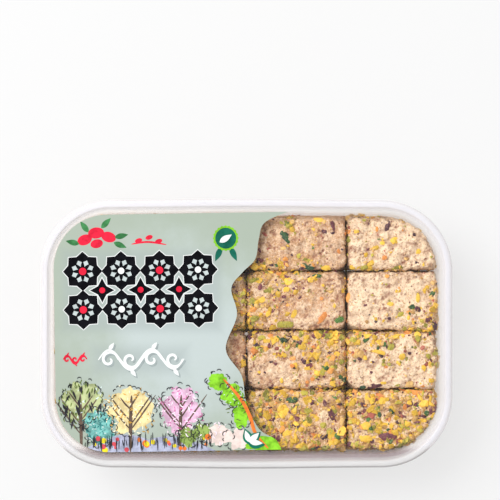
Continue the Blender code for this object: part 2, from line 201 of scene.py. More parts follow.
SETTINGS = {
    "halva_plastic": PlasticSettings,
    "halva_food": HalvaSettings,
    "halva_print": PrintSettings,
    "halva_stage": StageSettings,
}


# Node trees

class Value:
    """A node's output. Arithmetic on it adds Math nodes to its tree."""

    def __init__(self, socket):
        self.socket = socket
        self.tree = socket.id_data

    def to(self, node, key):
        """Links this output to a node's input."""
        self.tree.links.new(self.socket, node.inputs[key])

    def beside(self, name):
        """Another output of the same node."""
        return Value(self.socket.node.outputs[name])

    def math(self, operation, *others, clamp=False):
        """A Math node's result."""
        inputs = enumerate((self, *others))
        return output_of(self.tree, "ShaderNodeMath", inputs, operation=operation, use_clamp=clamp)

    def __add__(self, other):
        return self.math("ADD", other)

    def __sub__(self, other):
        return self.math("SUBTRACT", other)

    def __rsub__(self, other):
        return output_of(self.tree, "ShaderNodeMath", {0: other, 1: self}, operation="SUBTRACT")

    def __mul__(self, other):
        return self.math("MULTIPLY", other)

    def __pow__(self, other):
        return self.math("POWER", other)

    def vector(self, operation, other=None):
        """A Vector Math node's result; for SCALE the other value is a number."""
        key = "Scale" if operation == "SCALE" else 1
        inputs = {0: self} if other is None else {0: self, key: other}
        return output_of(self.tree, "ShaderNodeVectorMath", inputs, operation=operation)

    def axis(self, index):
        """One part of a vector."""
        return output_of(self.tree, "ShaderNodeSeparateXYZ", {0: self}, index)

    def ramp(self, low, high, to_low=0.0, to_high=1.0):
        """This number mapped smoothly from one range to another."""
        return output_of(
            self.tree, "ShaderNodeMapRange",
            {"Value": self, "From Min": low, "From Max": high, "To Min": to_low, "To Max": to_high},
            "Result", interpolation_type="SMOOTHSTEP",
        )

    def blend(self, first, second):
        """A number that goes from first to second as this one goes from 0 to 1."""
        return output_of(self.tree, "ShaderNodeMix", {0: self, 2: first, 3: second}, data_type="FLOAT")

    def mix(self, first, second):
        """A colour that goes from first to second as this number goes from 0 to 1."""
        inputs = {6: first, 7: second}
        inputs = {key: tint if isinstance(tint, Value) else (*tint, 1.0) for key, tint in inputs.items()}
        return output_of(self.tree, "ShaderNodeMix", {0: self, **inputs}, 2, data_type="RGBA")

    def noise(self, size, detail=2.0, roughness=0.5, seed=0.0):
        """Noise at this place, with lumps about size across."""
        return output_of(
            self.tree, "ShaderNodeTexNoise",
            {"Vector": self, "W": seed, "Scale": 1.0 / size, "Detail": detail, "Roughness": roughness},
            noise_dimensions="4D",
        )

    def cells(self, size):
        """How far this place is from the middle of its cell, for cells about size across."""
        inputs = {"Vector": self, "Scale": 1.0 / size}
        return output_of(self.tree, "ShaderNodeTexVoronoi", inputs, "Distance")


def output_of(tree, kind, inputs=(), output=0, **settings):
    """An output of a new node, whose inputs are set to plain values or linked to others' outputs."""
    node = tree.nodes.new(kind)
    for key, value in settings.items():
        setattr(node, key, value)
    for key, value in dict(inputs).items():
        if isinstance(value, Value):
            value.to(node, key)
        else:
            node.inputs[key].default_value = value
    return Value(node.outputs[output])


def attribute(tree, name):
    """A number that a mesh keeps under a name, in a material."""
    return output_of(tree, "ShaderNodeAttribute", output="Fac", attribute_name=name)


def new_material(name, roughness, specular=0.5):
    """Returns a new material, its Principled shader and its object coordinates, the pack's own metres."""
    material = bpy.data.materials.new(name)
    material.use_nodes = True
    shader = material.node_tree.nodes["Principled BSDF"]
    shader.inputs["Roughness"].default_value = roughness
    shader.inputs["Specular IOR Level"].default_value = specular
    return material, shader, output_of(material.node_tree, "ShaderNodeTexCoord", output="Object")


def add_bump(shader, height, distance, strength=1.0):
    """Fine relief on a shader's normal."""
    inputs = {"Height": height, "Distance": distance, "Strength": strength}
    output_of(height.tree, "ShaderNodeBump", inputs).to(shader, "Normal")


def scaled(tint, factor, extra=0.0):
    """A colour made darker or lighter."""
    return [min(part * factor + extra, 1.0) for part in tint]


# Geometry Nodes

def geometry_tree(name, names):
    """A tree with Geometry, Material and one number input for each name. Returns it and its inputs."""
    tree = bpy.data.node_groups.new(name, "GeometryNodeTree")
    kinds = {"Geometry": "NodeSocketGeometry", **dict.fromkeys(names, "NodeSocketFloat")}
    kinds["Material"] = "NodeSocketMaterial"
    for title, kind in kinds.items():
        tree.interface.new_socket(title, in_out="INPUT", socket_type=kind)
    tree.interface.new_socket("Geometry", in_out="OUTPUT", socket_type="NodeSocketGeometry")
    source = tree.nodes.new("NodeGroupInput")
    return tree, {title: Value(source.outputs[title]) for title in kinds}


def close_tree(tree, given, shape):
    """Ends a tree in Realize Instances and Set Material."""
    real = output_of(tree, "GeometryNodeRealizeInstances", {"Geometry": shape})
    inputs = {"Geometry": real, "Material": given["Material"]}
    output_of(tree, "GeometryNodeSetMaterial", inputs).to(tree.nodes.new("NodeGroupOutput"), 0)


def store(shape, name, value):
    """Keeps a number for each point under a name that materials can read."""
    inputs = {"Geometry": shape, "Name": name, "Value": value}
    return output_of(
        shape.tree, "GeometryNodeStoreNamedAttribute", inputs, data_type="FLOAT", domain="POINT"
    )


def stored(tree, name):
    """A number that the geometry keeps under a name, in a Geometry Nodes tree."""
    return output_of(tree, "GeometryNodeInputNamedAttribute", {"Name": name}, data_type="FLOAT")


def move_points(shape, offset):
    """Geometry with its points moved by an offset."""
    return output_of(shape.tree, "GeometryNodeSetPosition", {"Geometry": shape, "Offset": offset})


def run_tree(mesh, tree, material, values):
    """The plain mesh that a tree makes of mesh, with its inputs set by name."""
    carrier = bpy.data.objects.new("carrier", mesh)
    bpy.context.scene.collection.objects.link(carrier)
    modifier = carrier.modifiers.new(tree.name, "NODES")
    modifier.node_group = tree
    given = {**values, "Material": material}
    for item in tree.interface.items_tree:
        if item.in_out == "INPUT" and item.name in given:
            modifier[item.identifier] = given[item.name]
    bpy.context.view_layer.update()
    graph = bpy.context.evaluated_depsgraph_get()
    made = bpy.data.meshes.new_from_object(carrier.evaluated_get(graph))
    carrier.modifiers.clear()
    bpy.data.objects.remove(carrier)
    return made


# Pieces

def place_piece(name, mesh, nodes=()):
    """Makes a finished mesh a piece that rides on the body and stands for its solids."""
    if not mesh.polygons:
        raise RuntimeError(f"{name} has no faces")
    mesh.name = name
    piece = bpy.data.objects.new(name, mesh)
    bpy.context.scene.collection.objects.link(piece)
    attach(piece, "root")
    if nodes:
        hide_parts(*nodes)
    return piece


def mesh_from(vertices, faces, material, smooth=True):
    """A mesh from plain lists of vertices and faces."""
    mesh = bpy.data.meshes.new("piece")
    mesh.from_pydata([tuple(v) for v in vertices], [], faces)
    mesh.materials.append(material)
    if smooth:
        mesh.shade_smooth()
        mesh.set_sharp_from_angle(angle=SHARP_EDGE)
    return mesh


def set_point_value(mesh, name, values):
    """Keeps one number for each vertex of a mesh under a name."""
    kept = mesh.attributes.new(name, "FLOAT", "POINT")
    kept.data.foreach_set("value", np.asarray(values, np.float32))


def around(x, y, angle, radius_x, radius_y=None):
    """A point on a circle or an ellipse about x, y."""
    return x + radius_x * math.cos(angle), y + (radius_y or radius_x) * math.sin(angle)


# Clear plastic

PLASTIC_IOR = 1.49
GATE_HAZE = 0.16
GATE_FLATNESS = 0.4


def pack_ring(inset, z, corner_steps=22, long_steps=26, short_steps=10):
    """The lid's outline, moved inwards by inset, at height z, with its long sides bowed."""
    plastic = bpy.context.scene.halva_plastic
    radius = plastic.corner_radius - inset
    flat_x = LID_HIGH.x - inset - radius
    flat_y = LID_HIGH.y - inset - plastic.side_bow - radius
    ring = []
    for quarter, (sign_x, sign_y) in enumerate(((1, 1), (-1, 1), (-1, -1), (1, -1))):
        for step in range(corner_steps + 1):
            angle = (quarter + step / corner_steps) * QUARTER
            ring.append((*around(sign_x * flat_x, sign_y * flat_y, angle, radius), z))
        steps = long_steps if quarter % 2 == 0 else short_steps
        for step in range(1, steps):
            along = 1 - 2 * step / steps
            if quarter % 2 == 0:
                bulge = plastic.side_bow * math.cos(along * QUARTER) ** 2
                ring.append((sign_x * along * flat_x, sign_y * (flat_y + radius + bulge), z))
            else:
                ring.append((sign_x * (flat_x + radius), sign_y * along * flat_y, z))
    return ring


def arc(centre_inset, centre_z, radius, start, end, haze, steps=5):
    """Profile points round an arc. Angles are in quarter turns: 0 is inwards and 1 is up."""
    points = []
    for step in range(steps + 1):
        angle = (start + (end - start) * step / steps) * QUARTER
        points.append((*around(centre_inset, centre_z, angle, radius), haze))
    return points


def shell(profile, material):
    """A closed shell through a ring at each profile point (inset, height, haze), capped at both ends."""
    rings = [pack_ring(inset, z) for inset, z, haze in profile]
    count = len(rings[0])
    faces = []
    for low in range(0, (len(rings) - 1) * count, count):
        for i in range(count):
            j = (i + 1) % count
            faces.append((low + i, low + j, low + count + j, low + count + i))
    faces.append(tuple(range(count))[::-1])
    faces.append(tuple(range((len(rings) - 1) * count, len(rings) * count)))
    mesh = mesh_from([vertex for ring in rings for vertex in ring], faces, material)
    set_point_value(mesh, "haze", [haze for inset, z, haze in profile for _ in range(count)])
    bm = bmesh.new()
    bm.from_mesh(mesh)
    bmesh.ops.recalc_face_normals(bm, faces=bm.faces)
    bm.to_mesh(mesh)
    bm.free()
    return mesh


def add_gate_mark(mesh, top):
    """Adds the small round moulding mark to the middle of the lid's panel."""
    plastic = bpy.context.scene.halva_plastic
    bm = bmesh.new()
    bm.from_mesh(mesh)
    haze = bm.verts.layers.float["haze"]
    made = bmesh.ops.create_uvsphere(bm, u_segments=20, v_segments=10, radius=plastic.gate_radius)
    for vertex in made["verts"]:
        vertex.co.z = top + vertex.co.z * GATE_FLATNESS
        vertex[haze] = GATE_HAZE
    bm.to_mesh(mesh)
    bm.free()


def clear_plastic(name, slant_haze):
    """Clear moulded plastic: as milky as its "haze" says, and more so where it is seen at a slant."""
    plastic = bpy.context.scene.halva_plastic
    material, shader, place = new_material(name, 0.14)
    shader.inputs["IOR"].default_value = PLASTIC_IOR
    cloud = place.noise(12 * MM)
    base = cloud.mix(plastic.tint, scaled(plastic.tint, 1.05))
    sunken = place.axis(2).ramp(*mm(29.3, 29.7), 1.0, 0.0)
    # Painted shade: the warm haze round the panel's edge made darker towards the right
    painted_shade_rightward = place.axis(0).ramp(*mm(-60, 60))
    base = sunken.mix(base, painted_shade_rightward.mix(plastic.warm_tint, scaled(plastic.warm_tint, 0.74)))
    # Painted light: the rim and the bead along the lower long side made whiter
    lower = place.axis(1).ramp(*mm(-43, -48)) * (1.0 - sunken)
    base = lower.mix(base, WHITE)
    # Painted shade: the flange and the panel's edge along the lower long side tinted dark
    shaded = place.axis(1).ramp(*mm(-44, -48)) * sunken
    shaded.mix(base, plastic.shaded_tint).to(shader, "Base Color")
    haze = attribute(place.tree, "haze")
    slant = output_of(place.tree, "ShaderNodeLayerWeight", {"Blend": 0.3}, "Facing")
    extra = slant ** 1.8 * slant_haze * haze.ramp(0.0, 0.1, 0.15, 1.0)
    # The painted shade also makes that strip more milky, so that its dark tint covers more
    patchy = cloud.ramp(0.3, 0.7, 0.95, 1.05) * haze * shaded.ramp(0.0, 1.0, 1.0, 2.3)
    cover = patchy.math("ADD", extra, clamp=True)
    clear = output_of(place.tree, "ShaderNodeBsdfTransparent")
    layers = {0: cover, 1: clear, 2: Value(shader.outputs[0])}
    surface = output_of(place.tree, "ShaderNodeMixShader", layers)
    surface.to(place.tree.nodes["Material Output"], "Surface")
    return material


def wall_inset(z, extra=0.0):
    """Inset of the tub's outer wall at height z, with extra added for its inner face."""
    plastic = bpy.context.scene.halva_plastic
    flange_foot = LID_HIGH.z - plastic.flange_drop - plastic.wall
    return plastic.wall_inset + extra + (flange_foot - z) * math.tan(plastic.wall_draft)


class HALVA_OT_tub(bpy.types.Operator):
    """Builds the clear tub: foot ring, base fillet, sloped walls, flange and upright rim"""

    bl_idname = "halva.tub"
    bl_label = "Clear Tub"

    def execute(self, context):
        p = context.scene.halva_plastic
        rim_top = TUB_TOP
        flange_top = LID_HIGH.z - p.flange_drop
        flange_foot = flange_top - p.wall
        rim_outer = p.wall + p.clearance
        rim_inner = rim_outer + p.rim_width
        base_inset = wall_inset(p.base_fillet)
        foot_inner = base_inset + p.base_fillet + p.foot_width
        soft = p.wall / 3
        inner_radius = p.base_fillet - p.wall
        inner_inset = wall_inset(p.floor_top + inner_radius, p.wall)
        low, high = p.edge_haze, p.rim_haze
        profile = [(foot_inner + 2 * p.foot_recess, p.foot_recess, low), (foot_inner, 0.0, low)]
        profile += arc(base_inset + p.base_fillet, p.base_fillet, p.base_fillet, -1, -2, low, 9)
        profile += [
            (wall_inset(flange_foot / 2), flange_foot / 2, low),
            (p.wall_inset + soft, flange_foot - soft, low),
            (p.wall_inset - soft, flange_foot, low),
            (rim_outer + p.wall + soft, flange_foot, low),
            (rim_outer + p.wall, flange_foot - soft, high),
            (rim_outer + p.wall, rim_top - p.lip_drop, high),
            (rim_outer, rim_top - p.lip_drop, high),
        ]
        profile += arc(rim_outer + 2 * soft, rim_top - 2 * soft, 2 * soft, 2, 1, high, 4)
        profile += arc(rim_inner - 2 * soft, rim_top - 2 * soft, 2 * soft, 1, 0, high, 4)
        profile += [
            (rim_inner, flange_top + soft, low),
            (rim_inner + soft, flange_top, low),
            (p.wall_inset + p.wall - soft, flange_top, low),
            (p.wall_inset + p.wall + soft, flange_top - soft, low),
        ]
        profile += arc(inner_inset + inner_radius, p.floor_top + inner_radius, inner_radius, -2, -1, low, 8)
        place_piece("clear_tub", shell(profile, clear_plastic("clear tub", 0.25)), ["tub"])
        return {"FINISHED"}


class HALVA_OT_lid(bpy.types.Operator):
    """Builds the press-on lid: skirt, raised bead, sunken clear panel and its moulding mark"""

    bl_idname = "halva.lid"
    bl_label = "Clear Lid"

    def execute(self, context):
        p = context.scene.halva_plastic
        top = LID_HIGH.z
        foot = LID_LOW.z
        panel = top - p.panel_drop
        soft = p.wall / 2
        groove_top = top - p.wall
        groove_inner = p.bead_width - soft
        clear, edge, rim = p.panel_haze, p.edge_haze, p.rim_haze
        under = [(9.0 * MM, clear), (6.4 * MM, 2 * clear), (5.0 * MM, edge / 2)]
        profile = [(inset, panel - p.wall, haze) for inset, haze in under]
        profile += [(groove_inner + soft, panel - p.wall, edge)]
        profile += arc(groove_inner - soft, groove_top - soft, soft, 0, 1, rim, 4)
        profile += arc(p.wall + soft, groove_top - soft, soft, 1, 2, rim, 4)
        profile += [
            (p.wall, foot + soft, rim), (p.wall * 0.8, foot, rim), (p.wall * 0.2, foot, rim),
            (0.0, foot + soft, rim),
        ]
        profile += arc(p.bead_round, top - p.bead_round, p.bead_round, 2, 1, rim, 7)
        profile += arc(p.bead_width - p.bead_round, top - p.bead_round, p.bead_round, 1, 0.25, rim, 6)
        profile += arc(p.panel_inset + soft, panel + soft, soft, -1.8, -1, edge, 4)
        profile += [(inset, panel, haze) for inset, haze in reversed(under)]
        mesh = shell(profile, clear_plastic("clear lid", 0.45))
        add_gate_mark(mesh, panel)
        place_piece("clear_lid", mesh, ["lid"])
        return {"FINISHED"}


# Halva blocks

COLUMN_CUTS_MM = (-40.4, 0.0, 40.4)
ROW_CUTS_MM = (25.1, 1.0, -22.75)

# Levels down a block's side, and how often a distance is halved to find its outline
SIDE_LEVELS = 33
HALVINGS = 22

# How rich in nuts each block is at its upper left, upper right, lower left and lower right corner
RICHNESS = (
    ((0.5, 0.5, 0.5, 0.5), (0.5, 0.4, 0.5, 0.6), (0.4, 0.3, 0.6, 0.2), (0.5, 0.05, 0.45, 0.2)),
    ((0.5, 0.5, 0.5, 0.5), (0.5, 0.6, 0.5, 0.6), (0.95, 0.4, 0.65, 0.0), (0.0, 0.3, 0.1, 0.85)),
    ((0.5, 0.5, 0.5, 0.5), (0.5, 0.5, 0.5, 0.5), (0.5, 1.0, 0.0, 0.85), (1.0, 0.5, 0.0, 0.15)),
    ((0.8, 0.8, 0.8, 0.8), (0.8, 0.8, 0.8, 0.8), (0.9, 0.85, 0.8, 0.9), (1.0, 0.8, 1.0, 1.0)),
)

# How pale each block's halva is
PALENESS = ((0.4, 0.4, 0.2, 1.5), (0.4, 0.4, 0.4, 1.6), (0.5, 0.3, 0.6, 1.6), (0.4, 0.4, 0.7, 1.5))


def halva_edge(z):
    """Inset, from the lid's outline, of the pressed halva's outer face at height z."""
    plastic = bpy.context.scene.halva_plastic
    food = bpy.context.scene.halva_food
    radius = plastic.base_fillet - plastic.wall
    foot = plastic.floor_top + food.touch_gap
    below = np.clip((foot + radius - z) / radius, 0.0, 1.0)
    return wall_inset(z, plastic.wall) + food.wall_gap + radius * (1 - np.sqrt(1 - below ** 2))


def box_distance(x, y, half_x, half_y, radius):
    """Signed distance from points to a rounded rectangle about the origin."""
    over_x = np.abs(x) - half_x + radius
    over_y = np.abs(y) - half_y + radius
    outside = np.hypot(np.maximum(over_x, 0.0), np.maximum(over_y, 0.0))
    return outside + np.minimum(np.maximum(over_x, over_y), 0.0) - radius


def block_distance(x, y, z, cell, radius):
    """Signed distance, at height z, to a cell's part of the halva, with its corners rounded."""
    plastic = bpy.context.scene.halva_plastic
    left, right, low, high = cell
    inset = halva_edge(z)
    in_cell = box_distance(
        x - (left + right) / 2, y - (low + high) / 2, (right - left) / 2, (high - low) / 2, radius
    )
    bow = plastic.side_bow * (1 - np.clip(np.abs(x) / (LID_HIGH.x - plastic.corner_radius), 0, 1) ** 2)
    in_tub = box_distance(
        x, y, LID_HIGH.x - inset, LID_HIGH.y - plastic.side_bow - inset + bow,
        plastic.corner_radius - inset,
    )
    outside = np.hypot(np.maximum(in_cell + radius, 0.0), np.maximum(in_tub + radius, 0.0))
    return np.minimum(np.maximum(in_cell, in_tub), -radius) + outside


def block_cell(row, column):
    """Left, right, low and high edges of a block's cell; past the end walls, it has room to spare."""
    food = bpy.context.scene.halva_food
    spare = 10 * MM
    columns = (LID_LOW.x - spare, *(cut * MM for cut in COLUMN_CUTS_MM), LID_HIGH.x + spare)
    rows = (food.half_width, *(cut * MM for cut in ROW_CUTS_MM), -food.half_width)
    half_gap = food.cut_gap / 2
    return (
        columns[column] + half_gap, columns[column + 1] - half_gap,
        rows[row + 1] + half_gap, rows[row] - half_gap,
    )


def reach(ray_x, ray_y, middle, z, cell, radius, shrink=0.0):
    """How far along each ray, from a block's middle, its outline lies."""
    near = np.zeros_like(ray_x)
    far = np.full_like(ray_x, 1.6)
    for _ in range(HALVINGS):
        guess = (near + far) / 2
        inside = block_distance(
            middle[0] + ray_x * guess, middle[1] + ray_y * guess, z, cell, radius
        ) + shrink < 0
        near = np.where(inside, guess, near)
        far = np.where(inside, far, guess)
    return near


def grid_faces(index, order=(0, 1, 2, 3)):
    """Faces between the vertices whose numbers stand in a grid, with their corners in an order."""
    corners = (index[:-1, :-1], index[1:, :-1], index[1:, 1:], index[:-1, 1:])
    return np.stack([corners[i] for i in order], axis=-1).reshape(-1, 4).tolist()


def block_mesh(row, column, draw):
    """A smooth block on a fine grid: vertices, faces, and each vertex's richness and depth in a cut, which
    the material darkens as painted shade.
    """
    food = bpy.context.scene.halva_food
    plastic = bpy.context.scene.halva_plastic
    cell = block_cell(row, column)
    foot = plastic.floor_top + food.touch_gap
    top = food.top - draw.uniform(0.0, 0.5) * MM
    radius = draw.uniform(3.0, 5.0) * MM
    tuck = 0.4 * MM
    shoulder = food.shoulder * draw.uniform(0.75, 1.25)
    inset = float(halva_edge(np.array(top)))
    left, right = max(cell[0], LID_LOW.x + inset), min(cell[1], LID_HIGH.x - inset)
    low, high = max(cell[2], LID_LOW.y + inset), min(cell[3], LID_HIGH.y - inset)
    middle = ((left + right) / 2, (low + high) / 2)
    half = ((right - left) / 2, (high - low) / 2)
    count_x, count_y = (max(4, round(2 * size / food.grid)) for size in half)
    u, v = np.meshgrid(np.linspace(-1, 1, count_x + 1), np.linspace(-1, 1, count_y + 1), indexing="ij")
    largest = np.maximum(np.maximum(np.abs(u), np.abs(v)), 1e-9)
    stretch = reach(u / largest * half[0], v / largest * half[1], middle, top, cell, radius)
    x = middle[0] + stretch * u * half[0]
    y = middle[1] + stretch * v * half[1]
    depth = np.clip(-block_distance(x, y, top, cell, radius), 0.0, shoulder)
    z = top - shoulder + np.sqrt(np.maximum(shoulder ** 2 - (shoulder - depth) ** 2, 0.0))
    vertices = [np.stack([x.ravel(), y.ravel(), z.ravel()], axis=1)]
    index = np.arange(x.size).reshape(x.shape)
    faces = grid_faces(index)
    border = np.concatenate([index[:, 0], index[-1, 1:], index[-2::-1, -1], index[0, -2:0:-1]])
    rays = (u.ravel()[border] * half[0], v.ravel()[border] * half[1])
    levels = np.linspace(top - shoulder, foot, SIDE_LEVELS)[1:]
    above = border
    start = x.size
    for level in levels:
        narrow = radius * min(max(1 - (top - shoulder - level) / (6.0 * MM), 0.1), 1.0)
        along = reach(*rays, middle, level, cell, narrow, tuck if level == levels[-1] else 0.0)
        ring = np.stack(
            [middle[0] + rays[0] * along, middle[1] + rays[1] * along, np.full(len(border), level)], axis=1
        )
        vertices.append(ring)
        below = np.arange(start, start + len(border))
        start += len(border)
        faces += np.stack([above, below, np.roll(below, -1), np.roll(above, -1)], axis=-1).tolist()
        above = below
    under = np.full(x.shape, -1)
    under.ravel()[border] = above
    inside = under < 0
    under[inside] = start + np.arange(np.count_nonzero(inside))
    stretch = reach(u / largest * half[0], v / largest * half[1], middle, foot, cell, narrow, tuck)
    base = np.stack([middle[0] + stretch * u * half[0], middle[1] + stretch * v * half[1]], axis=-1)[inside]
    vertices.append(np.column_stack([base, np.full(len(base), foot)]))
    faces += grid_faces(under, (0, 3, 2, 1))
    points = np.concatenate(vertices)
    across = np.clip((points[:, 0] - left) / (right - left), 0, 1)
    up = np.clip((points[:, 1] - low) / (high - low), 0, 1)
    corners = RICHNESS[row][column]
    rich = (corners[0] * (1 - across) + corners[1] * across) * up
    rich += (corners[2] * (1 - across) + corners[3] * across) * (1 - up)
    rich += 0.1 * np.clip((top - points[:, 2]) / shoulder, 0, 1)
    to_column, to_row = (
        np.min([np.abs(points[:, axis] - cut * MM) for cut in cuts], axis=0)
        for axis, cuts in ((0, COLUMN_CUTS_MM), (1, ROW_CUTS_MM))
    )
    # Painted shade: how far down a cut each vertex lies, most near the cuts' crossings and none near the
    # blocks' tops
    crossing = np.clip(1.2 - np.hypot(to_column, to_row) / (5.0 * MM), 0, 1)
    shut = np.clip(1.2 - np.minimum(to_column, to_row) / (2.4 * MM), 0, 1) * (0.1 + 0.9 * crossing)
    shut *= np.clip((top - 0.4 * MM - points[:, 2]) / (2.0 * MM), 0, 1)
    return points, faces, rich, shut


def crumble_tree():
    """Turns a smooth block into crumbly, porous, slightly fibrous halva and marks its rich patches."""
    names = ("Lump Depth", "Crumb Depth", "Pore Depth", "Fibre Depth", "Seed")
    tree, given = geometry_tree("crumbly halva", names)
    place = output_of(tree, "GeometryNodeInputPosition")
    normal = output_of(tree, "GeometryNodeInputNormal")
    seed = given["Seed"]
    lump = place.noise(6.5 * MM, seed=seed)
    crumb = place.noise(2.1 * MM, 4.0, 0.62, seed)
    fibre = place.vector("MULTIPLY", (0.4, 1.0, 1.0)).noise(1.0 * MM, seed=seed)
    porous = place.noise(4 * MM, seed=seed).ramp(0.46, 0.6)
    pore = place.cells(1.5 * MM).ramp(0.12, 0.42, 1.0, 0.0) * porous
    height = pore * -1.0 * given["Pore Depth"]
    for value, depth in ((lump, "Lump Depth"), (crumb, "Crumb Depth"), (fibre, "Fibre Depth")):
        height = ((value - 0.58) * 2.0).math("MULTIPLY_ADD", given[depth], height)
    up = normal.axis(2)
    height = height.math("MINIMUM", up.ramp(0.2, 0.9, *mm(0.1, 2)))
    side_limit = place.axis(2).ramp(*mm(14, 23, -0.05, -0.6))
    height = height.math("MAXIMUM", up.ramp(0.2, 0.7).blend(side_limit, -5 * MM))
    crumbly = move_points(given["Geometry"], normal.vector("SCALE", height))
    # Painted shade: the crumbs' hollows and the pores are kept so that the material darkens them
    hollow = crumb - pore * 0.35
    cluster = place.noise(5.5 * MM, 1.0, seed=7.0).ramp(0.42, 0.6, 0.4, 1.0)
    crumbly = store(crumbly, "painted_hollow_shade", hollow.ramp(0.33, 0.57, 1.0, 0.0) * cluster)
    patch = place.noise(8 * MM, 3.0, 0.6, 50.0)
    level = (stored(tree, "rich") - 0.5).math("MULTIPLY_ADD", 0.42, patch)
    close_tree(tree, given, store(crumbly, "nutty", level.ramp(0.44, 0.62)))
    return tree


def halva_material():
    """Pressed sesame halva: pale lumps, sandy hollows, pores and hollows darkened with painted shade,
    painted shade down its cuts, and tiny specks of nut.
    """
    food = bpy.context.scene.halva_food
    material, shader, place = new_material("crumbly halva", 0.8, 0.2)
    painted_hollow_shade, nutty, pale, shut = (attribute(place.tree, name) for name in ("painted_hollow_shade", "nutty", "pale", "shut"))
    fine = place.noise(0.8 * MM, 3.0, 0.75)
    sandy = place.noise(4.5 * MM, 4.0, 0.62).ramp(0.36, 0.66, 0.0, 1.2) - pale
    base = sandy.ramp(-1.0, 1.0).mix(food.cream, food.sand)
    cells = place.cells(0.9 * MM)
    dusty = nutty.math("MULTIPLY_ADD", 0.2, place.noise(3 * MM, seed=4.0)).ramp(0.5, 0.64)
    hue = output_of(place.tree, "ShaderNodeSeparateColor", {0: cells.beside("Color")})
    dust = hue.ramp(0.4, 0.6).mix((0.66, 0.38, 0.04), (0.30, 0.08, 0.08))
    for cover, tint in (
        (nutty * 0.28, food.stain),
        (fine.ramp(0.52, 0.66) * 0.85, scaled(food.sand, 0.56)),
        (fine.ramp(0.49, 0.38) * 0.5, food.flake),
        # painted shade in the hollows and pores
        (painted_hollow_shade * 0.95, food.pore),
        (cells.ramp(0.18, 0.34, 1.0, 0.0) * dusty * 0.8, dust),
        # painted shade down in the cuts
        (shut * 0.9, food.cut),
    ):
        base = cover.mix(base, tint)
    base.to(shader, "Base Color")
    add_bump(shader, place.noise(0.6 * MM, 3.0, 0.7), 0.4 * MM)
    return material


def block_name(row, column):
    """The name of a block's solid."""
    return f"halva_row{row + 1}_col{column + 1}"


class HALVA_OT_blocks(bpy.types.Operator):
    """Builds the sixteen crumbly blocks of halva"""

    bl_idname = "halva.blocks"
    bl_label = "Halva Blocks"

    def execute(self, context):
        food = context.scene.halva_food
        material = halva_material()
        tree = crumble_tree()
        for row, column in BLOCKS:
            draw = random.Random(food.seed * 16 + row * 4 + column)
            vertices, faces, rich, shut = block_mesh(row, column, draw)
            smooth = mesh_from(vertices, faces, material)
            pale = [PALENESS[row][column]] * len(vertices)
            for name, numbers in (("rich", rich), ("shut", shut), ("pale", pale)):
                set_point_value(smooth, name, numbers)
            values = {
                "Lump Depth": food.lump_depth, "Crumb Depth": food.crumb_depth,
                "Pore Depth": food.pore_depth, "Fibre Depth": food.fibre_depth,
                "Seed": float(row * 4 + column),
            }
            mesh = run_tree(smooth, tree, material, values)
            name = block_name(row, column)
            place_piece(f"{name}_crumbly", mesh, [name])
        return {"FINISHED"}


# Bits of nut

# The power of a draw from 0 to 1 that gives a bit's size; above 1, most bits are small
SMALL_BIAS = 1.8
SHARP_BIT_EDGE = math.radians(32)

# A kind of bit: two tones, bits to a square centimetre, half lengths in millimetres, flatness, and how
# much it keeps to the rich patches
NutKind = namedtuple("NutKind", "light dark per_cm2 smallest largest flatness patchy", defaults=(1.0,))

NUT_KINDS = {
    "yellow": NutKind((1.0, 0.62, 0.08), (0.60, 0.36, 0.03), 15.5, 0.35, 1.9, 0.45),
    "straw": NutKind((0.84, 0.54, 0.19), (0.38, 0.19, 0.06), 18.0, 0.3, 1.5, 0.5),
    "lime": NutKind((0.60, 0.50, 0.07), (0.22, 0.20, 0.03), 12.0, 0.3, 1.6, 0.45),
    "green": NutKind((0.09, 0.21, 0.04), (0.02, 0.06, 0.03), 2.5, 0.28, 1.3, 0.4),
    "purple": NutKind((0.22, 0.06, 0.07), (0.035, 0.015, 0.03), 9.0, 0.22, 1.4, 0.35, 0.6),
    "orange": NutKind((0.92, 0.42, 0.10), (0.64, 0.21, 0.05), 4.5, 0.25, 1.5, 0.45, 0.8),
    "red": NutKind((0.50, 0.13, 0.09), (0.20, 0.05, 0.03), 14.0, 0.15, 0.7, 0.4, 0.4),
}

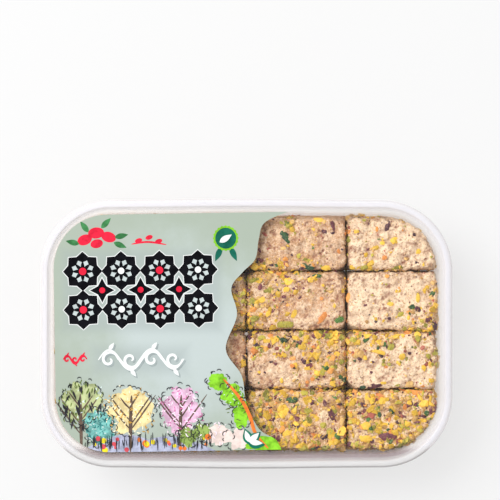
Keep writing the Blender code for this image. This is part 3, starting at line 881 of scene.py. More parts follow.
# The largest bits: place from the pack's middle, length, width and turn in degrees
LARGE_BITS_MM = {
    "green": (
        (15.5, 39.2, 7.0, 2.9, -62), (24.4, 26.8, 5.4, 2.4, -20), (28.1, 23.2, 3.8, 1.7, 0),
        (20.2, 23.8, 1.8, 1.3, 30), (37.2, 5.6, 4.0, 2.4, 20), (74.3, 15.8, 3.0, 2.0, 60),
        (37.4, -17.2, 2.0, 1.6, 0), (47.9, -2.2, 2.5, 1.8, 40), (52.7, -5.5, 1.6, 1.2, 80),
        (57.9, -38.7, 3.6, 1.8, -20), (72.2, -31.6, 2.5, 2.0, 70), (18.4, -26.4, 4.6, 2.4, 5),
        (36.1, -40.8, 3.2, 2.9, 0), (16.0, 44.0, 3.0, 1.6, 20), (46.6, -21.2, 2.6, 1.4, 10),
    ),
    "purple": (
        (34.5, 43.4, 4.0, 2.1, -75), (34.5, 40.5, 1.7, 1.4, 0), (31.3, 40.9, 2.4, 1.9, -30),
        (5.3, 33.5, 2.1, 1.0, -60), (4.8, 29.8, 2.0, 1.2, 50), (18.3, 31.6, 1.3, 1.0, 70),
        (15.2, 23.1, 3.2, 1.0, -10), (5.5, 18.8, 2.7, 1.5, 80), (19.3, 18.0, 2.6, 1.2, -30),
        (23.0, 18.2, 3.0, 1.0, -25), (15.1, 14.8, 2.0, 1.4, -10), (69.0, 9.9, 4.0, 2.0, -30),
        (74.9, 3.6, 3.9, 3.2, -45), (72.5, 5.6, 3.2, 2.0, 20), (51.8, 5.0, 1.3, 1.2, 0),
        (57.2, 6.3, 1.6, 1.3, 0), (56.4, 43.1, 4.3, 2.0, 80), (48.6, 28.1, 1.7, 1.3, 0),
        (22.9, -10.8, 3.0, 1.8, -50), (19.3, -13.3, 2.3, 1.6, 10), (26.4, -7.2, 1.7, 1.4, 0),
        (33.2, -7.2, 2.0, 1.4, 0), (37.8, -1.2, 1.9, 1.7, 0), (21.0, -4.0, 3.0, 1.1, 70),
        (65.2, -7.7, 1.5, 1.2, 0), (51.3, -20.6, 7.8, 2.0, 8), (65.0, -28.3, 3.6, 2.5, 25),
        (71.3, -29.0, 2.9, 2.4, 0), (74.5, -30.8, 4.6, 3.2, 80), (56.3, -41.2, 7.2, 3.6, 8),
        (42.2, -44.2, 4.3, 2.4, -10), (34.3, -32.6, 6.0, 2.5, -68), (19.4, -29.6, 2.5, 2.0, 60),
        (31.1, -41.2, 3.2, 2.0, 20), (30.2, -47.2, 1.6, 1.1, 0), (3.8, -4.4, 2.0, 1.2, 40),
        (0.2, 13.6, 2.4, 1.2, 80),
    ),
    "yellow": (
        (18.5, 41.6, 3.2, 2.4, -60), (28.9, 45.6, 4.5, 2.0, -5), (31.6, 26.6, 4.0, 2.4, -10),
        (16.8, 21.2, 3.4, 2.8, 20), (19.0, 8.1, 4.0, 2.0, 70), (68.6, 14.2, 4.3, 1.8, 85),
        (57.8, 12.0, 2.4, 1.6, 0), (44.0, 41.0, 2.0, 1.7, 0), (51.8, 34.5, 2.8, 1.9, 20),
        (59.0, 37.4, 3.6, 2.4, 40), (42.5, 26.7, 2.4, 1.9, 0), (25.0, -13.6, 3.6, 1.6, 10),
        (43.8, -3.2, 3.9, 2.4, 10), (52.9, -7.2, 6.0, 1.8, -12), (62.4, -9.0, 2.9, 2.4, 40),
        (60.8, -11.7, 2.2, 1.2, -45), (75.8, -20.8, 2.4, 1.9, 0), (54.9, -19.6, 2.4, 1.2, 0),
        (49.0, -25.5, 3.4, 3.0, 0), (47.7, -36.9, 4.0, 3.0, 20), (47.7, -41.9, 5.4, 3.2, -10),
        (61.1, -35.8, 2.8, 2.0, 60), (65.6, -40.8, 2.8, 2.0, 30), (46.3, -45.3, 3.6, 1.6, 0),
        (16.4, -39.8, 4.3, 2.8, 30), (25.7, -26.6, 3.4, 2.6, 0), (26.8, -33.0, 2.8, 2.0, -30),
        (68.6, -0.4, 2.9, 2.4, -30), (42.4, -27.6, 3.6, 2.2, 60), (6.2, 13.6, 3.0, 2.2, 30),
        (9.4, 9.6, 2.6, 1.8, 80), (33.8, -3.6, 3.0, 2.0, 0), (6.2, -36.0, 3.0, 2.0, 50),
        (21.4, -44.8, 3.2, 1.8, 10), (69.4, -37.6, 3.0, 2.0, 40), (59.0, -45.6, 3.0, 1.6, 0),
    ),
    "straw": (
        (36.1, -29.0, 6.4, 1.7, -65), (23.2, -31.6, 4.8, 2.4, -70), (65.2, -20.1, 3.6, 2.4, 10),
        (59.3, -28.9, 3.6, 2.2, -60), (14.7, 34.3, 2.4, 1.3, 0), (29.4, -24.8, 3.0, 2.0, 20),
        (9.4, -28.0, 3.2, 2.2, 40), (34.2, -22.4, 2.8, 1.6, 0), (39.4, -36.4, 3.6, 1.6, 80),
    ),
    "lime": (
        (8.8, 17.2, 4.0, 1.7, 0), (15.4, 3.8, 7.0, 2.8, 3), (61.8, 7.8, 2.8, 2.0, 20),
        (41.1, 38.1, 3.0, 2.0, 70), (61.1, 26.8, 4.3, 1.8, 0), (47.2, 26.7, 3.2, 2.0, 10),
        (35.4, -13.0, 2.0, 1.8, 0), (6.1, -1.6, 3.2, 2.0, 20), (45.2, -0.5, 3.9, 2.5, 15),
        (57.7, -5.1, 3.4, 2.5, 60), (45.4, -27.8, 2.4, 1.8, 60), (63.8, -36.7, 3.2, 1.6, -70),
        (14.2, -28.3, 2.8, 2.0, 80), (11.6, -32.2, 3.6, 2.0, -60), (23.2, -23.7, 2.8, 2.2, 0),
        (52.6, -30.0, 2.4, 2.0, 0), (20.2, -36.0, 2.4, 2.0, 40), (67.4, -31.2, 2.6, 1.8, 40),
        (1.0, 22.4, 3.4, 1.8, 60),
    ),
    "orange": (
        (36.8, 33.2, 2.7, 1.3, -55), (15.6, 30.0, 2.1, 1.9, 0), (30.6, 6.7, 7.4, 2.4, 51),
        (41.0, 14.5, 4.3, 2.3, 80), (56.1, 23.1, 2.0, 1.3, 0), (52.2, 42.0, 2.1, 1.3, 80),
        (55.2, 30.6, 2.2, 1.8, 20), (8.0, -5.8, 2.5, 2.1, 80), (9.6, -0.8, 2.4, 2.0, 0),
        (34.2, -10.0, 2.8, 2.2, 50), (26.4, -18.0, 2.0, 1.6, 0), (64.3, 0.2, 2.5, 2.2, 80),
        (67.7, -23.4, 9.2, 2.0, -3), (52.9, -25.3, 4.0, 2.7, 10), (43.4, -34.4, 3.6, 1.7, 80),
        (14.2, -38.0, 3.4, 2.2, 50), (27.8, -46.8, 3.4, 1.7, 10),
    ),
    "red": (
        (7.2, 40.0, 2.4, 1.2, -40), (8.7, 34.1, 1.9, 1.4, 10), (12.2, -5.8, 2.0, 1.5, 0),
        (12.9, -8.0, 2.2, 1.3, -20), (67.6, -2.2, 3.2, 1.6, -50), (70.4, -5.5, 1.9, 1.5, 50),
        (71.8, -12.2, 2.4, 1.8, 40), (48.4, -32.2, 5.7, 3.0, -15), (61.0, -42.6, 3.6, 2.0, 20),
        (48.6, -46.4, 1.3, 1.1, 0), (63.4, -6.8, 1.6, 1.2, 0), (62.2, -32.8, 2.0, 1.2, -60),
    ),
}


def scatter_tree():
    """Scatters small angular bits over the halva, densest in its rich patches."""
    names = ("Density", "Smallest", "Largest", "Flatness", "Patchy", "Seed")
    tree, given = geometry_tree("scattered bits", names)
    place = output_of(tree, "GeometryNodeInputPosition")
    height = place.axis(2)
    up = output_of(tree, "GeometryNodeInputNormal").axis(2)
    nutty = stored(tree, "nutty")
    own = place.noise(5 * MM, seed=given["Seed"] * 3.7).ramp(0.4, 0.6, 0.3, 1.5)
    patch = nutty.math("MULTIPLY_ADD", given["Patchy"], (1.12 - given["Patchy"]) * 0.5)
    facing = up.ramp(0.1, 0.6).blend(height.ramp(*mm(15, 24), 0.2, 0.7), 1.0)
    amount = patch * own * given["Density"] * facing * height.ramp(*mm(2.5, 3.5))

    def whole(value):
        """A whole number of a value, for a seed."""
        return output_of(tree, "FunctionNodeFloatToInt", {0: value})

    def draw(low, high, offset):
        """A random number for each point, drawn from its own seed."""
        inputs = {2: low, 3: high, 8: whole(given["Seed"] + offset)}
        return output_of(tree, "FunctionNodeRandomValue", inputs, 1, data_type="FLOAT")

    def from_axes(*axes):
        """A vector of three numbers."""
        return output_of(tree, "ShaderNodeCombineXYZ", enumerate(axes))

    points = output_of(
        tree, "GeometryNodeDistributePointsOnFaces",
        {"Mesh": given["Geometry"], "Density": amount, "Seed": whole(given["Seed"])}, "Points",
        distribute_method="RANDOM",
    )
    bias = draw(0.0, 1.0, 10.0) ** SMALL_BIAS
    long_side = bias.math("MULTIPLY_ADD", given["Largest"] - given["Smallest"], given["Smallest"])
    long_side *= nutty.ramp(0.2, 1.0, 0.75, 1.2)
    thick = long_side * given["Flatness"] * draw(0.7, 1.2, 30.0)
    scale = from_axes(long_side, long_side * draw(0.4, 0.95, 20.0), thick)
    spin = from_axes(draw(-0.4, 0.4, 40.0), draw(-0.4, 0.4, 50.0), draw(0.0, math.tau, 60.0))
    spin = output_of(tree, "FunctionNodeEulerToRotation", {0: spin})
    rotation = output_of(
        tree, "FunctionNodeRotateRotation",
        {"Rotation": points.beside("Rotation"), "Rotate By": spin}, rotation_space="LOCAL",
    )
    toned = store(store(points, "tone", draw(0.0, 1.0, 70.0)), "size", long_side)
    bit = output_of(tree, "GeometryNodeMeshIcoSphere", {"Radius": 1.0, "Subdivisions": 1}, "Mesh")
    placed = output_of(
        tree, "GeometryNodeInstanceOnPoints",
        {"Points": toned, "Instance": bit, "Rotation": rotation, "Scale": scale},
    )
    real = output_of(tree, "GeometryNodeRealizeInstances", {"Geometry": placed})
    fine_place = {"Vector": place.vector("SCALE", 1000.0)}
    jitter = output_of(tree, "ShaderNodeTexWhiteNoise", fine_place, "Color", noise_dimensions="3D")
    centred = jitter.vector("SUBTRACT", (0.5, 0.5, 0.5))
    push = stored(tree, "size") * 0.55
    close_tree(tree, given, move_points(real, centred.vector("SCALE", push)))
    return tree


def nut_material(name, kind):
    """Chopped nut: two tones drawn for each bit, mottled and dusted with halva."""
    food = bpy.context.scene.halva_food
    material, shader, place = new_material(f"{name} nut", 0.55, 0.3)
    mottle = place.noise(1.1 * MM, 3.0, 0.6) * 0.9
    tone = attribute(place.tree, "tone").math("MULTIPLY_ADD", 0.5, mottle)
    base = tone.ramp(0.35, 1.0).mix(kind.light, kind.dark)
    dusted = place.noise(0.8 * MM, 3.0, 0.7, 9.0).ramp(0.54, 0.66)
    (dusted * 0.22).mix(base, food.cream).to(shader, "Base Color")
    add_bump(shader, place.noise(0.5 * MM), 0.15 * MM, 0.6)
    return material


def join_surfaces(meshes, name):
    """One mesh of several, keeping the named number of their vertices."""
    vertices, faces, kept = [], [], []
    start = 0
    for mesh in meshes:
        places = np.empty(len(mesh.vertices) * 3, np.float32)
        mesh.vertices.foreach_get("co", places)
        vertices.append(places.reshape(-1, 3))
        faces += [[start + i for i in polygon.vertices] for polygon in mesh.polygons]
        values = np.empty(len(mesh.vertices), np.float32)
        mesh.attributes[name].data.foreach_get("value", values)
        kept.append(values)
        start += len(mesh.vertices)
    joined = bpy.data.meshes.new("all halva")
    joined.from_pydata(np.concatenate(vertices), [], faces)
    joined.shade_smooth()
    set_point_value(joined, name, np.concatenate(kept))
    return joined


def large_bit(bm, tone_layer, surface, row, draw):
    """Adds one large uneven bit, partly sunk in the halva below its place."""
    x, y, long_side, width, turn = row
    stage = bpy.context.scene.halva_stage
    eye = Vector((stage.view_x, stage.view_y, LID_HIGH.z + stage.camera_height))
    above = Vector((x * MM, y * MM, LID_HIGH.z))
    hit, normal, _, _ = surface.ray_cast(above, above - eye)
    if hit is None or LID_HIGH.z - hit.z > 9 * MM:
        hit, normal, _, _ = surface.find_nearest(above)
    thick = min(width, 2.2) * draw.uniform(0.45, 0.6)
    made = bmesh.ops.create_icosphere(bm, subdivisions=2, radius=0.5)
    lean = UP.rotation_difference(normal.lerp(UP, 0.5).normalized())
    place = Matrix.Translation(hit - UP * (0.12 * thick * MM)) @ lean.to_matrix().to_4x4()
    place = place @ Matrix.Rotation(math.radians(turn), 4, "Z")
    size = Vector((long_side, width, thick)) * MM
    tone = draw.random()
    for vertex in made["verts"]:
        offset = noise.noise_vector(vertex.co * 2.3 + Vector((x, y, 0.0))) * 0.22
        squared = Vector([math.copysign(abs(c * 2) ** 0.75 / 2, c) for c in vertex.co])
        vertex.co = place @ ((squared + offset) * size)
        vertex[tone_layer] = tone


def large_bits_mesh(name, surface, material, draw):
    """All large bits of one kind."""
    bm = bmesh.new()
    tone_layer = bm.verts.layers.float.new("tone")
    for row in LARGE_BITS_MM[name]:
        large_bit(bm, tone_layer, surface, row, draw)
    mesh = bpy.data.meshes.new(name)
    bm.to_mesh(mesh)
    bm.free()
    mesh.materials.append(material)
    mesh.shade_smooth()
    mesh.set_sharp_from_angle(angle=SHARP_BIT_EDGE)
    return mesh


class HALVA_OT_nuts(bpy.types.Operator):
    """Scatters the chopped pistachio, its skins and loose crumbs over the halva"""

    bl_idname = "halva.nuts"
    bl_label = "Bits of Nut"

    def execute(self, context):
        food = context.scene.halva_food
        meshes = [bpy.data.objects[f"{block_name(*block)}_crumbly"].data for block in BLOCKS]
        joined = join_surfaces(meshes, "nutty")
        bm = bmesh.new()
        bm.from_mesh(joined)
        surface = BVHTree.FromBMesh(bm)
        bm.free()
        tree = scatter_tree()
        draw = random.Random(food.seed)
        # Without a seed above 0, noise_vector differs from one run to the next
        noise.seed_set(food.seed + 1)
        crumbs = NutKind(None, None, 26.0, 0.2, 0.8, 0.6, 0.25)
        kinds = {**NUT_KINDS, "halva": crumbs}
        for seed, (name, kind) in enumerate(kinds.items(), 1):
            if name == "halva":
                material = bpy.data.materials["crumbly halva"]
            else:
                material = nut_material(name, kind)
                place_piece(f"{name}_pieces", large_bits_mesh(name, surface, material, draw))
            values = {
                "Density": kind.per_cm2 * 1e4, "Smallest": kind.smallest * MM,
                "Largest": kind.largest * MM, "Flatness": kind.flatness, "Patchy": kind.patchy,
                "Seed": float(seed),
            }
            mesh = run_tree(joined, tree, material, values)
            mesh.shade_flat()
            place_piece(f"{name}_crumbs", mesh)
        bpy.data.meshes.remove(joined)
        return {"FINISHED"}


# Label film

WAVE_POINTS_MM = (
    (13.3, -47.6), (11.0, -43.5), (4.4, -39.1), (-0.5, -28.5), (-2.2, -17.7), (-8.4, -7.0),
    (-3.7, 6.5), (-5.8, 17.2), (-1.3, 23.5), (4.0, 28.9), (5.5, 36.6), (7.9, 43.3), (17.2, 47.6),
)
LEFT_EDGE_MM = -76.8
CORNER_STEPS = 16


def smooth_line(points, steps=8):
    """A smooth open line through points (Catmull-Rom)."""
    padded = [points[0], *points, points[-1]]
    line = []
    for a, b, c, d in zip(padded, padded[1:], padded[2:], padded[3:]):
        for step in range(steps):
            t = step / steps
            line.append(tuple(
                0.5 * (2 * q + (r - p) * t + (2 * p - 5 * q + 4 * r - s) * t ** 2
                       + (3 * q - p - 3 * r + s) * t ** 3)
                for p, q, r, s in zip(a, b, c, d)
            ))
    return line + [tuple(points[-1])]


def label_outline():
    """The label's outline in its own frame, in millimetres, anticlockwise."""
    inks = bpy.context.scene.halva_print
    radius = inks.corner / MM
    half = inks.half_width / MM
    outline = smooth_line(WAVE_POINTS_MM)
    for quarter, centre_y in ((1, half - radius), (2, radius - half)):
        for step in range(CORNER_STEPS + 1):
            angle = (quarter + step / CORNER_STEPS) * QUARTER
            outline.append(around(LEFT_EDGE_MM + radius, centre_y, angle, radius))
    return outline


def signed_area(points):
    """Twice the area inside an outline, positive where it runs anticlockwise."""
    return sum(x0 * y1 - x1 * y0 for (x0, y0), (x1, y1) in zip(points, points[1:] + points[:1]))


def plate(outlines, low, high, material):
    """One closed thin plate of all that the outlines cover on the label."""
    points, rings = [], []
    for outline in [label_outline(), *outlines]:
        ordered = outline if signed_area(outline) > 0 else outline[::-1]
        rings.append(list(range(len(points), len(points) + len(ordered))))
        points += [Vector(point) for point in ordered]
    flat, _, triangles, _, _, origins = geometry.delaunay_2d_cdt(points, [], rings, 1, 1e-4)
    kept = [list(face) for face, origin in zip(triangles, origins) if 0 in origin and len(origin) > 1]
    kept = [face if signed_area([tuple(flat[i]) for i in face]) > 0 else face[::-1] for face in kept]
    used = sorted({i for face in kept for i in face})
    number = {old: new for new, old in enumerate(used)}
    kept = [[number[i] for i in face] for face in kept]
    inks = bpy.context.scene.halva_print
    place = Matrix.Translation((0, inks.rise, 0)) @ Matrix.Rotation(inks.turn, 4, "Z")
    count = len(used)
    vertices = [place @ Vector((flat[i].x * MM, flat[i].y * MM, z)) for z in (low, high) for i in used]
    edges = {(a, b) for face in kept for a, b in zip(face, face[1:] + face[:1])}
    faces = [[i + count for i in face] for face in kept] + [face[::-1] for face in kept]
    faces += [[a, b, b + count, a + count] for a, b in sorted(edges) if (b, a) not in edges]
    return mesh_from(vertices, faces, material, smooth=False)


def box_falloff(place, middle_mm, half_mm, soft):
    """1 inside a box on the label, falling softly to 0 outside it."""
    away = place.vector("SUBTRACT", (*mm(*middle_mm), 0.0)).vector("ABSOLUTE")
    over = away.vector("SUBTRACT", (*mm(*half_mm), 0.0))
    return over.axis(0).math("MAXIMUM", over.axis(1)).ramp(-soft / 2, soft, 1.0, 0.0)


def film_material():
    """The label's ground: sage with a lighter, bluer middle, soft shades and a watery mottle."""
    inks = bpy.context.scene.halva_print
    material, shader, place = new_material("sage film", 0.4, 0.1)
    across = place.axis(0).math("MULTIPLY_ADD", 1 / 0.047, 0.55)
    up = place.axis(1).math("MULTIPLY_ADD", 1 / 0.046, 0.05)
    far = (across ** 2.0 + up ** 2.0).math("SQRT") + (place.noise(16 * MM, 4.0, 0.6) - 0.5)
    base = far.ramp(0.2, 1.15).mix(inks.glow, inks.ground)
    band = box_falloff(place, (-42.0, 17.4), (30.5, 15.0), 4 * MM)
    curls = box_falloff(place, (-42.5, -10.5), (17.0, 3.5), 5 * MM)
    base = (band.math("MAXIMUM", curls) * 0.5).mix(base, inks.shade)
    (place.noise(1.2 * MM) * 0.1).mix(base, (0.35, 0.42, 0.34)).to(shader, "Base Color")
    add_bump(shader, place.noise(12 * MM, 1.0), 0.05 * MM, 0.3)
    return material


def ink_material(name, tint, spread):
    """Printed ink, as uneven as its spread says."""
    material, shader, place = new_material(f"{name} ink", 0.5, 0.03)
    mottle = place.noise(3.5 * MM, 4.0, 0.65).ramp(0.35, 0.65)
    mottle.mix(scaled(tint, 1 - spread), scaled(tint, 1 + spread, 0.002)).to(shader, "Base Color")
    return material


# Shapes of the print, in millimetres of the label's frame

def star(x, y, outer, inner, points=8, turn=0.0):
    """A star's outline."""
    return [
        around(x, y, turn + step * math.pi / points, (outer, inner)[step % 2]) for step in range(2 * points)
    ]


def turned(x, y, outline, turn):
    """An outline about the origin, turned and moved to x, y."""
    cos, sin = math.cos(turn), math.sin(turn)
    return [(x + a * cos - b * sin, y + a * sin + b * cos) for a, b in outline]


def disc(x, y, radius_x, radius_y=None, turn=0.0, steps=24):
    """A circle's or an ellipse's outline."""
    outline = [around(0, 0, step / steps * math.tau, radius_x, radius_y) for step in range(steps)]
    return turned(x, y, outline, turn)


def leaf(x, y, long_side, width, turn, steps=8):
    """A pointed leaf's outline from its stalk at x, y."""
    edge = [(step / steps, math.sin(math.pi * (step / steps) ** 0.8)) for step in range(steps + 1)]
    outline = [(along * long_side, side * width / 2) for along, side in edge]
    outline += [(along * long_side, -side * width / 2) for along, side in edge[-2:0:-1]]
    return turned(x, y, outline, turn)


def stroke(points, width, steps=6):
    """The outline of a brush stroke along a smooth line, thin at both ends."""
    line = smooth_line(points, steps)
    left, right = [], []
    for i, (x, y) in enumerate(line):
        ahead = line[min(i + 1, len(line) - 1)]
        behind = line[max(i - 1, 0)]
        along = math.atan2(ahead[1] - behind[1], ahead[0] - behind[0])
        half = width / 2 * (0.25 + 0.75 * math.sin(math.pi * i / (len(line) - 1)) ** 0.7)
        left.append((x - half * math.sin(along), y + half * math.cos(along)))
        right.append((x + half * math.sin(along), y - half * math.cos(along)))
    return left + right[::-1]


def spiral(x, y, radius, turns, start, width):
    """A curled brush stroke."""
    points = []
    for step in range(11):
        shrunk = radius * (1 - 0.085 * step)
        points.append(around(x, y, start + turns * math.tau * step / 10, shrunk))
    return stroke(points, width, 3)


def blob(x, y, radius_x, radius_y, draw, ragged=0.22, steps=30):
    """A watercolour wash: an ellipse with a ragged edge."""
    phases = [(wave, draw.uniform(0, math.tau), draw.uniform(0.3, 1.0)) for wave in (2, 3, 5, 7, 11)]
    outline = []
    for step in range(steps):
        angle = step / steps * math.tau
        swing = sum(size * math.sin(wave * angle + phase) / wave ** 0.6 for wave, phase, size in phases)
        far = 1 + ragged * swing / 2
        outline.append(around(x, y, angle, radius_x * far, radius_y * far))
    return outline


def hill(left, right, foot, height, lean=0.0, steps=14):
    """A soft hill's outline, with a flat foot."""
    crest = []
    for step in range(steps + 1):
        t = step / steps
        bent = t ** (1 + lean) if lean >= 0 else 1 - (1 - t) ** (1 - lean)
        crest.append((left + (right - left) * t, foot + height * math.sin(math.pi * bent) ** 0.8))
    return [(left, foot - 0.5), (right, foot - 0.5)] + crest[::-1]


def moved(outlines, x, y):
    """Outlines moved by x and y."""
    return [[(a + x, b + y) for a, b in outline] for outline in outlines]


INK_LINE = 0.34
STAR_PITCH = 15.4
STAR_ROWS = (25.0, 9.6)
STAR_COLUMNS = (-65.2, -49.8, -34.4, -19.0)


def tile_band(inks):
    """Layers of the black star-and-cross band."""
    stars = [(x, y) for y in STAR_ROWS for x in STAR_COLUMNS]
    crosses = [(x + STAR_PITCH / 2, sum(STAR_ROWS) / 2) for x in STAR_COLUMNS[:-1]]
    petals = [leaf(x, y, 4.4, 1.5, step * math.pi / 4) for x, y in stars for step in range(8)]
    small = [star(x, y, 4.9, 2.4, 4) for x, y in crosses]
    return [
        ("white_borders", inks.white, 0.03, [star(x, y, 8.25, 6.58) for x, y in stars]
         + [star(x, y, 5.5, 2.8, 4) for x, y in crosses]),
        ("black_stars", inks.black, 0.3, [star(x, y, 7.9, 6.25) for x, y in stars] + small),
        ("sage_stars", inks.glow, 0.1, [star(x, y, 4.7, 3.6, 8, math.pi / 8) for x, y in stars]),
        ("black_petals", inks.black, 0.3, petals),
        ("red_hearts", inks.red, 0.15, [disc(x, y, 1.5) for x, y in stars[::2]]
         + [disc(x, y, 1.2) for x, y in crosses]),
        ("white_hearts", inks.white, 0.03, [disc(x, y, 1.3) for x, y in stars[1::2]]),
    ]


def vine(x, y, bend, height, bends, width):
    """A wavy vine with a curl inside each bend and a leaf outside it."""
    line = [(x + bend * i / 4, y + height * math.sin(math.pi * i / 4)) for i in range(4 * bends + 1)]
    outlines = [stroke(line, width, 3)]
    for index in range(bends):
        side = 1 if index % 2 == 0 else -1
        middle = x + (index + 0.5) * bend
        outlines.append(spiral(middle, y, bend * 0.42, side * 1.15, 0.0, width * 0.85))
        outlines.append(leaf(middle, y + side * height, bend * 0.42, bend * 0.19, side * 0.95))
    return outlines


def crown(x, y, radius_x, radius_y, draw, count=8):
    """A tree crown's wash: ragged blobs that overlap round its middle."""
    outlines = [blob(x, y, radius_x * 0.6, radius_y * 0.6, draw, 0.3)]
    for step in range(count):
        angle = math.tau * (step + 0.6 * draw.random()) / count
        far = draw.uniform(0.45, 0.65)
        outlines.append(blob(
            *around(x, y, angle, radius_x * far, radius_y * far),
            radius_x * draw.uniform(0.25, 0.42), radius_y * draw.uniform(0.25, 0.42), draw, 0.5,
        ))
    return outlines


def crowns(draw, *places):
    """The washes of several tree crowns."""
    return [outline for place in places for outline in crown(*place, draw)]


def dabs(x, y, radius_x, radius_y, count, long_side, draw, lean=None):
    """Small brush dabs scattered in an ellipse, at any turn or round one lean."""
    marks = []
    for _ in range(count):
        angle = draw.uniform(0, math.tau)
        far = math.sqrt(draw.random())
        turn = draw.uniform(0, math.tau) if lean is None else lean + draw.gauss(0, 0.3)
        size = long_side * draw.uniform(0.6, 1.4)
        place = around(x, y, angle, radius_x * far, radius_y * far)
        marks.append(leaf(*place, size, 0.2 + size * 0.16, turn, 3))
    return marks


def scallops(x, y, radius_x, radius_y, count, draw):
    """Short curved ink strokes round a crown's edge."""
    marks = []
    for step in range(count):
        angle = math.tau * (step + draw.random()) / count
        far = draw.uniform(0.75, 1.0)
        size = draw.uniform(0.6, 1.3)
        middle = around(x, y, angle, radius_x * far, radius_y * far)
        curve = [around(*middle, angle + bend, size) for bend in (-1.2, -0.4, 0.4, 1.2)]
        marks.append(stroke(curve, INK_LINE, 3))
    return marks


def trunk(x, foot, top, width, draw):
    """A tree trunk with branches that fork up into its crown."""
    lean = draw.uniform(-0.8, 0.8)
    outlines = [stroke([(x, foot), (x + lean * 0.3, (foot + top) / 2), (x + lean, top)], width, 5)]
    for share_up in (0.35, 0.55, 0.75):
        for side in (-1, 1):
            low = foot + (top - foot) * (share_up + draw.uniform(-0.08, 0.08))
            reach_up = (top - low) * draw.uniform(0.5, 0.9) + 1.5
            outlines.append(stroke([
                (x + lean * share_up, low), (x + side * reach_up * 0.35, low + reach_up * 0.45),
                (x + side * reach_up * 0.75, low + reach_up),
            ], width * 0.45, 4))
    return outlines


def accents(inks):
    """Layers of the red pods, the green seal and the white and red vines."""
    pods = [
        (-64.2, 37.6, 2.6, 0.35), (-59.6, 40.3, 2.8, 0.1),
        (-54.6, 38.6, 2.6, -0.3), (-59.4, 36.0, 2.2, 0.2),
    ]
    twigs = [
        (-66.4, 36.0, 2.9), (-52.2, 38.4, 0.2), (-57.5, 42.2, 0.8), (-62.6, 40.6, 2.2), (-52.6, 36.4, -0.4),
    ]
    ribbons = [leaf(-9.4, 34.0, 6.4, 2.4, -2.0), leaf(-6.0, 34.0, 6.4, 2.4, -1.15)]
    flourish = vine(-59.5, -10.6, 8.6, 3.9, 4, 1.35)
    return [
        ("red_pods", inks.red, 0.2, [disc(x, y, r * 1.15, r * 0.8, turn) for x, y, r, turn in pods]
         + [disc(x, y, 1.5, 0.9, 0.3) for x, y in ((-42.6, 37.0), (-38.4, 38.2), (-34.6, 36.6))]
         + [stroke([(-45.5, 35.6), (-39, 36.4), (-31.5, 35.2)], 0.8)]),
        ("branch_leaves", (0.05, 0.20, 0.07), 0.3, [leaf(x, y, 5.6, 2.3, turn) for x, y, turn in twigs]),
        ("seal_ribbons", inks.seal, 0.2, ribbons),
        ("seal_rim", inks.lime, 0.15, [star(-7.7, 37.4, 5.2, 4.8, 20)]),
        ("seal", inks.seal, 0.2, [disc(-7.7, 37.4, 4.2)]),
        ("seal_leaf", inks.white, 0.05, [leaf(-10.2, 35.8, 5.8, 2.4, 0.55)]),
        ("soft_shades", inks.shade, 0.1, moved(flourish, 0.6, -0.7)),
        ("white_vine", inks.white, 0.03, flourish),
        ("red_vine", inks.red, 0.15, vine(-73.6, -10.2, 3.2, 1.7, 3, 0.85)),
    ]


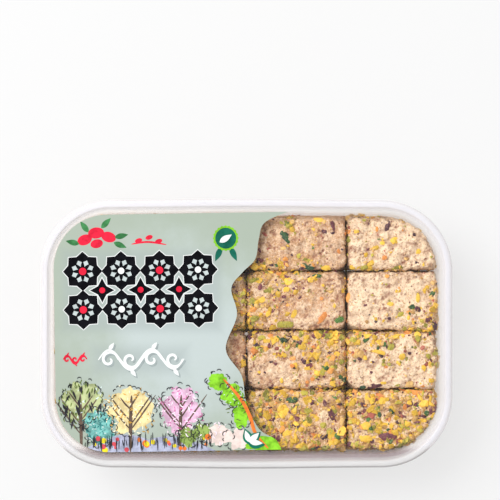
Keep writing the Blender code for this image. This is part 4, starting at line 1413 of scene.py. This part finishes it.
def orchard(inks):
    """Layers of the watercolour orchard along the label's lower edge."""
    draw = random.Random(11)
    foot = -47.6
    olive = (-66.5, -27.5, 9.5, 9.5)
    teal = (-59.5, -37.5, 6.5, 7.5)
    golden = (-47.0, -31.0, 10.5, 10.5)
    blossom = (-27.0, -31.5, 9.5, 10.5)
    rosy = ((-12.5, -41.0, 6.5, 5.0), (-4.0, -43.0, 6.0, 4.5))
    shrubs = ((-24.0, -42.0, 4.5, 4.0), (-18.5, -40.0, 3.6, 3.6))
    lime = (
        (-11.5, -20.0, 4.5, 4.5), (-6.0, -25.5, 5.5, 5.0), (-2.0, -33.0, 4.5, 6.0), (8.0, -45.5, 10.0, 4.5),
    )
    blooms = [(draw.uniform(-62, -16), draw.uniform(-47, -42), draw.uniform(0.6, 1.3)) for _ in range(24)]
    stems = []
    for _ in range(70):
        x, y = draw.uniform(-66, -14), draw.uniform(-47.5, -44.5)
        stems.append([(x, y), (x + draw.uniform(-0.5, 0.5), y + draw.uniform(2.0, 5.5))])
    branch = [(8.0, -47.0), (3.0, -41.0), (0.5, -33.0), (-3.5, -26.0), (-9.5, -19.0)]
    sprig = [leaf(0.5, -44.4, *rest) for rest in ((5.4, 2.4, 0.75), (5.4, 2.2, -0.1), (5.0, 2.2, 1.9))]
    backing = [
        leaf(-0.1, -45.2, 7.0, 4.2, 0.75), leaf(-0.1, -44.9, 7.0, 3.8, -0.1),
        leaf(0.9, -45.4, 6.8, 4.0, 1.9),
    ]
    lines = []
    small_crowns = [(place, 12) for place in (*rosy, *shrubs, *lime[:3])]
    for place, count in ((olive, 26), (teal, 18), (golden, 30), (blossom, 28), *small_crowns):
        lines += scallops(*place, count, draw)
    lines += [stroke(stem, INK_LINE, 3) for stem in stems]
    lines += dabs(-66.5, -27.5, 8.5, 9.0, 30, 3.2, draw, -1.5)
    return [
        ("golden_wash", (0.80, 0.66, 0.34), 0.22, crowns(draw, golden)),
        ("blossom_wash", (0.72, 0.46, 0.62), 0.25, crowns(draw, blossom)),
        ("rosy_wash", (0.78, 0.64, 0.59), 0.15, crowns(draw, *rosy)),
        ("olive_wash", (0.42, 0.47, 0.24), 0.3, crowns(draw, olive)),
        ("lilac_meadow", (0.40, 0.42, 0.55), 0.25,
         [hill(-68, -34, foot, 7.0, 0.2), hill(-48, -13, foot, 6.0, -0.2)]),
        ("trunks", (0.13, 0.09, 0.07), 0.3, trunk(-66.8, foot, -24, 1.4, draw)
         + trunk(-47.2, foot, -25, 1.5, draw) + trunk(-27.2, foot, -25, 1.4, draw)),
        ("teal_wash", (0.16, 0.40, 0.37), 0.45, crowns(draw, teal)),
        ("lime_wash", inks.lime, 0.35, crowns(draw, *lime)),
        ("shrub_wash", (0.24, 0.34, 0.09), 0.4, crowns(draw, *shrubs)),
        ("olive_dabs", (0.12, 0.17, 0.04), 0.4, dabs(*olive, 80, 1.7, draw, -1.4)
         + dabs(-3, -28, 7, 8, 40, 1.7, draw) + dabs(*shrubs[0], 30, 1.5, draw, 1.5)
         + dabs(*shrubs[1], 20, 1.5, draw, 1.5)),
        ("teal_dabs", (0.03, 0.17, 0.17), 0.4, dabs(*teal, 70, 1.5, draw)),
        ("pale_dabs", (0.60, 0.70, 0.68), 0.2, dabs(*teal, 30, 1.1, draw) + dabs(*olive, 24, 1.2, draw)
         + dabs(*lime[1], 12, 1.2, draw)),
        ("gold_dabs", (0.66, 0.38, 0.08), 0.3, dabs(*golden, 60, 1.4, draw)),
        ("cream_dabs", (0.90, 0.83, 0.60), 0.1, dabs(*golden, 50, 1.5, draw)),
        ("pink_dabs", (0.56, 0.14, 0.34), 0.3, dabs(*blossom, 60, 1.2, draw)),
        ("petals", (0.90, 0.78, 0.86), 0.1, dabs(*blossom, 60, 1.4, draw) + dabs(*rosy[0], 20, 1.3, draw)),
        ("orange_blooms", (0.80, 0.20, 0.04), 0.2, [disc(*bloom) for bloom in blooms[::3]]
         + [stroke(branch, 1.5)]),
        ("yellow_blooms", (0.80, 0.66, 0.03), 0.2, [disc(*bloom) for bloom in blooms[1::3]]),
        ("red_blooms", (0.60, 0.08, 0.10), 0.2, [disc(x, y, r * 0.8) for x, y, r in blooms[2::3]]),
        ("ink_lines", (0.035, 0.035, 0.04), 0.3, lines),
        ("sprig_backing", (0.01, 0.16, 0.10), 0.2, backing),
        ("white_sprig", inks.white, 0.03, sprig),
    ]


class HALVA_OT_label(bpy.types.Operator):
    """Builds the printed film on the lid, with its wavy edge and its print"""

    bl_idname = "halva.label"
    bl_label = "Label"

    def execute(self, context):
        inks = context.scene.halva_print
        top = LABEL_HIGH.z
        film = plate([label_outline()], LABEL_LOW.z, top, film_material())
        place_piece("label_film", film, ["label"])
        for layers in (tile_band(inks), accents(inks), orchard(inks)):
            for step, (name, tint, spread, outlines) in enumerate(layers, 1):
                material = ink_material(name.replace("_", " "), tint, spread)
                mesh = plate(outlines, top - inks.ink, top + step * inks.ink, material)
                place_piece(f"print_{name}", mesh)
        return {"FINISHED"}


# Stage

KEY_PLACE = (-0.93, 0.67, 1.36)
KEY_SIZE = 1.1
FLOOR_SIZE = 6.0


class HALVA_OT_stage(bpy.types.Operator):
    """Sets up the camera, the soft light and the pale floor"""

    bl_idname = "halva.stage"
    bl_label = "Stage"

    def execute(self, context):
        scene = context.scene
        stage = scene.halva_stage
        camera = bpy.data.objects.new("camera", bpy.data.cameras.new("camera"))
        scene.collection.objects.link(camera)
        camera.location = (stage.view_x, stage.view_y, LID_HIGH.z + stage.camera_height)
        camera.data.lens = camera.data.sensor_width * stage.camera_height / stage.view_width
        camera.data.clip_end = 10.0
        scene.camera = camera
        self.add_floor(stage)
        self.add_key_light(scene, stage)
        world = bpy.data.worlds.new("even light")
        world.use_nodes = True
        sky = world.node_tree.nodes["Background"]
        sky.inputs["Strength"].default_value = stage.sky_power
        sky.inputs["Color"].default_value = (*WHITE, 1.0)
        scene.world = world
        scene.view_settings.view_transform = "Standard"
        scene.cycles.transparent_max_bounces = 24
        return {"FINISHED"}

    def add_floor(self, stage):
        """A wide pale floor under the pack."""
        material, shader, place = new_material("pale floor", 0.8, 0.1)
        place.noise(0.3, 1.0).mix(stage.floor, scaled(stage.floor, 0.985)).to(shader, "Base Color")
        shader.inputs["Emission Color"].default_value = (*WHITE, 1.0)
        shader.inputs["Emission Strength"].default_value = stage.floor_glow
        bpy.ops.mesh.primitive_grid_add(x_subdivisions=2, y_subdivisions=2, size=FLOOR_SIZE)
        floor = bpy.context.object
        floor.name = "floor"
        floor.location.z = -0.1 * MM
        floor.data.materials.append(material)

    def add_key_light(self, scene, stage):
        """A square soft light aimed at the pack."""
        data = bpy.data.lights.new("key", "AREA")
        data.size = KEY_SIZE
        data.energy = stage.key_power
        light = bpy.data.objects.new("key", data)
        light.location = KEY_PLACE
        light.rotation_euler = (-Vector(KEY_PLACE)).to_track_quat("-Z", "Y").to_euler()
        scene.collection.objects.link(light)


OPERATORS = (
    HALVA_OT_stage, HALVA_OT_tub, HALVA_OT_blocks, HALVA_OT_nuts, HALVA_OT_lid, HALVA_OT_label,
)


class HALVA_PT_panel(bpy.types.Panel):
    """Lists the pieces of the halva tub"""

    bl_idname = "HALVA_PT_panel"
    bl_label = "Halva Tub"
    bl_space_type = "VIEW_3D"
    bl_region_type = "UI"
    bl_category = "Halva"

    def draw(self, context):
        for operator in OPERATORS:
            self.layout.operator(operator.bl_idname)
        for name, group in SETTINGS.items():
            box = self.layout.box()
            for setting in group.__annotations__:
                box.prop(getattr(context.scene, name), setting)


def register():
    for name, group in SETTINGS.items():
        bpy.utils.register_class(group)
        setattr(bpy.types.Scene, name, PointerProperty(type=group))
    for cls in (*OPERATORS, HALVA_PT_panel):
        bpy.utils.register_class(cls)


def unregister():
    for cls in (HALVA_PT_panel, *reversed(OPERATORS)):
        bpy.utils.unregister_class(cls)
    for name, group in SETTINGS.items():
        delattr(bpy.types.Scene, name)
        bpy.utils.unregister_class(group)


def main():
    """Builds every piece in order."""
    register()
    for step in ("stage", "tub", "blocks", "nuts", "lid", "label"):
        getattr(bpy.ops.halva, step)()


if __name__ == "__main__":
    main()
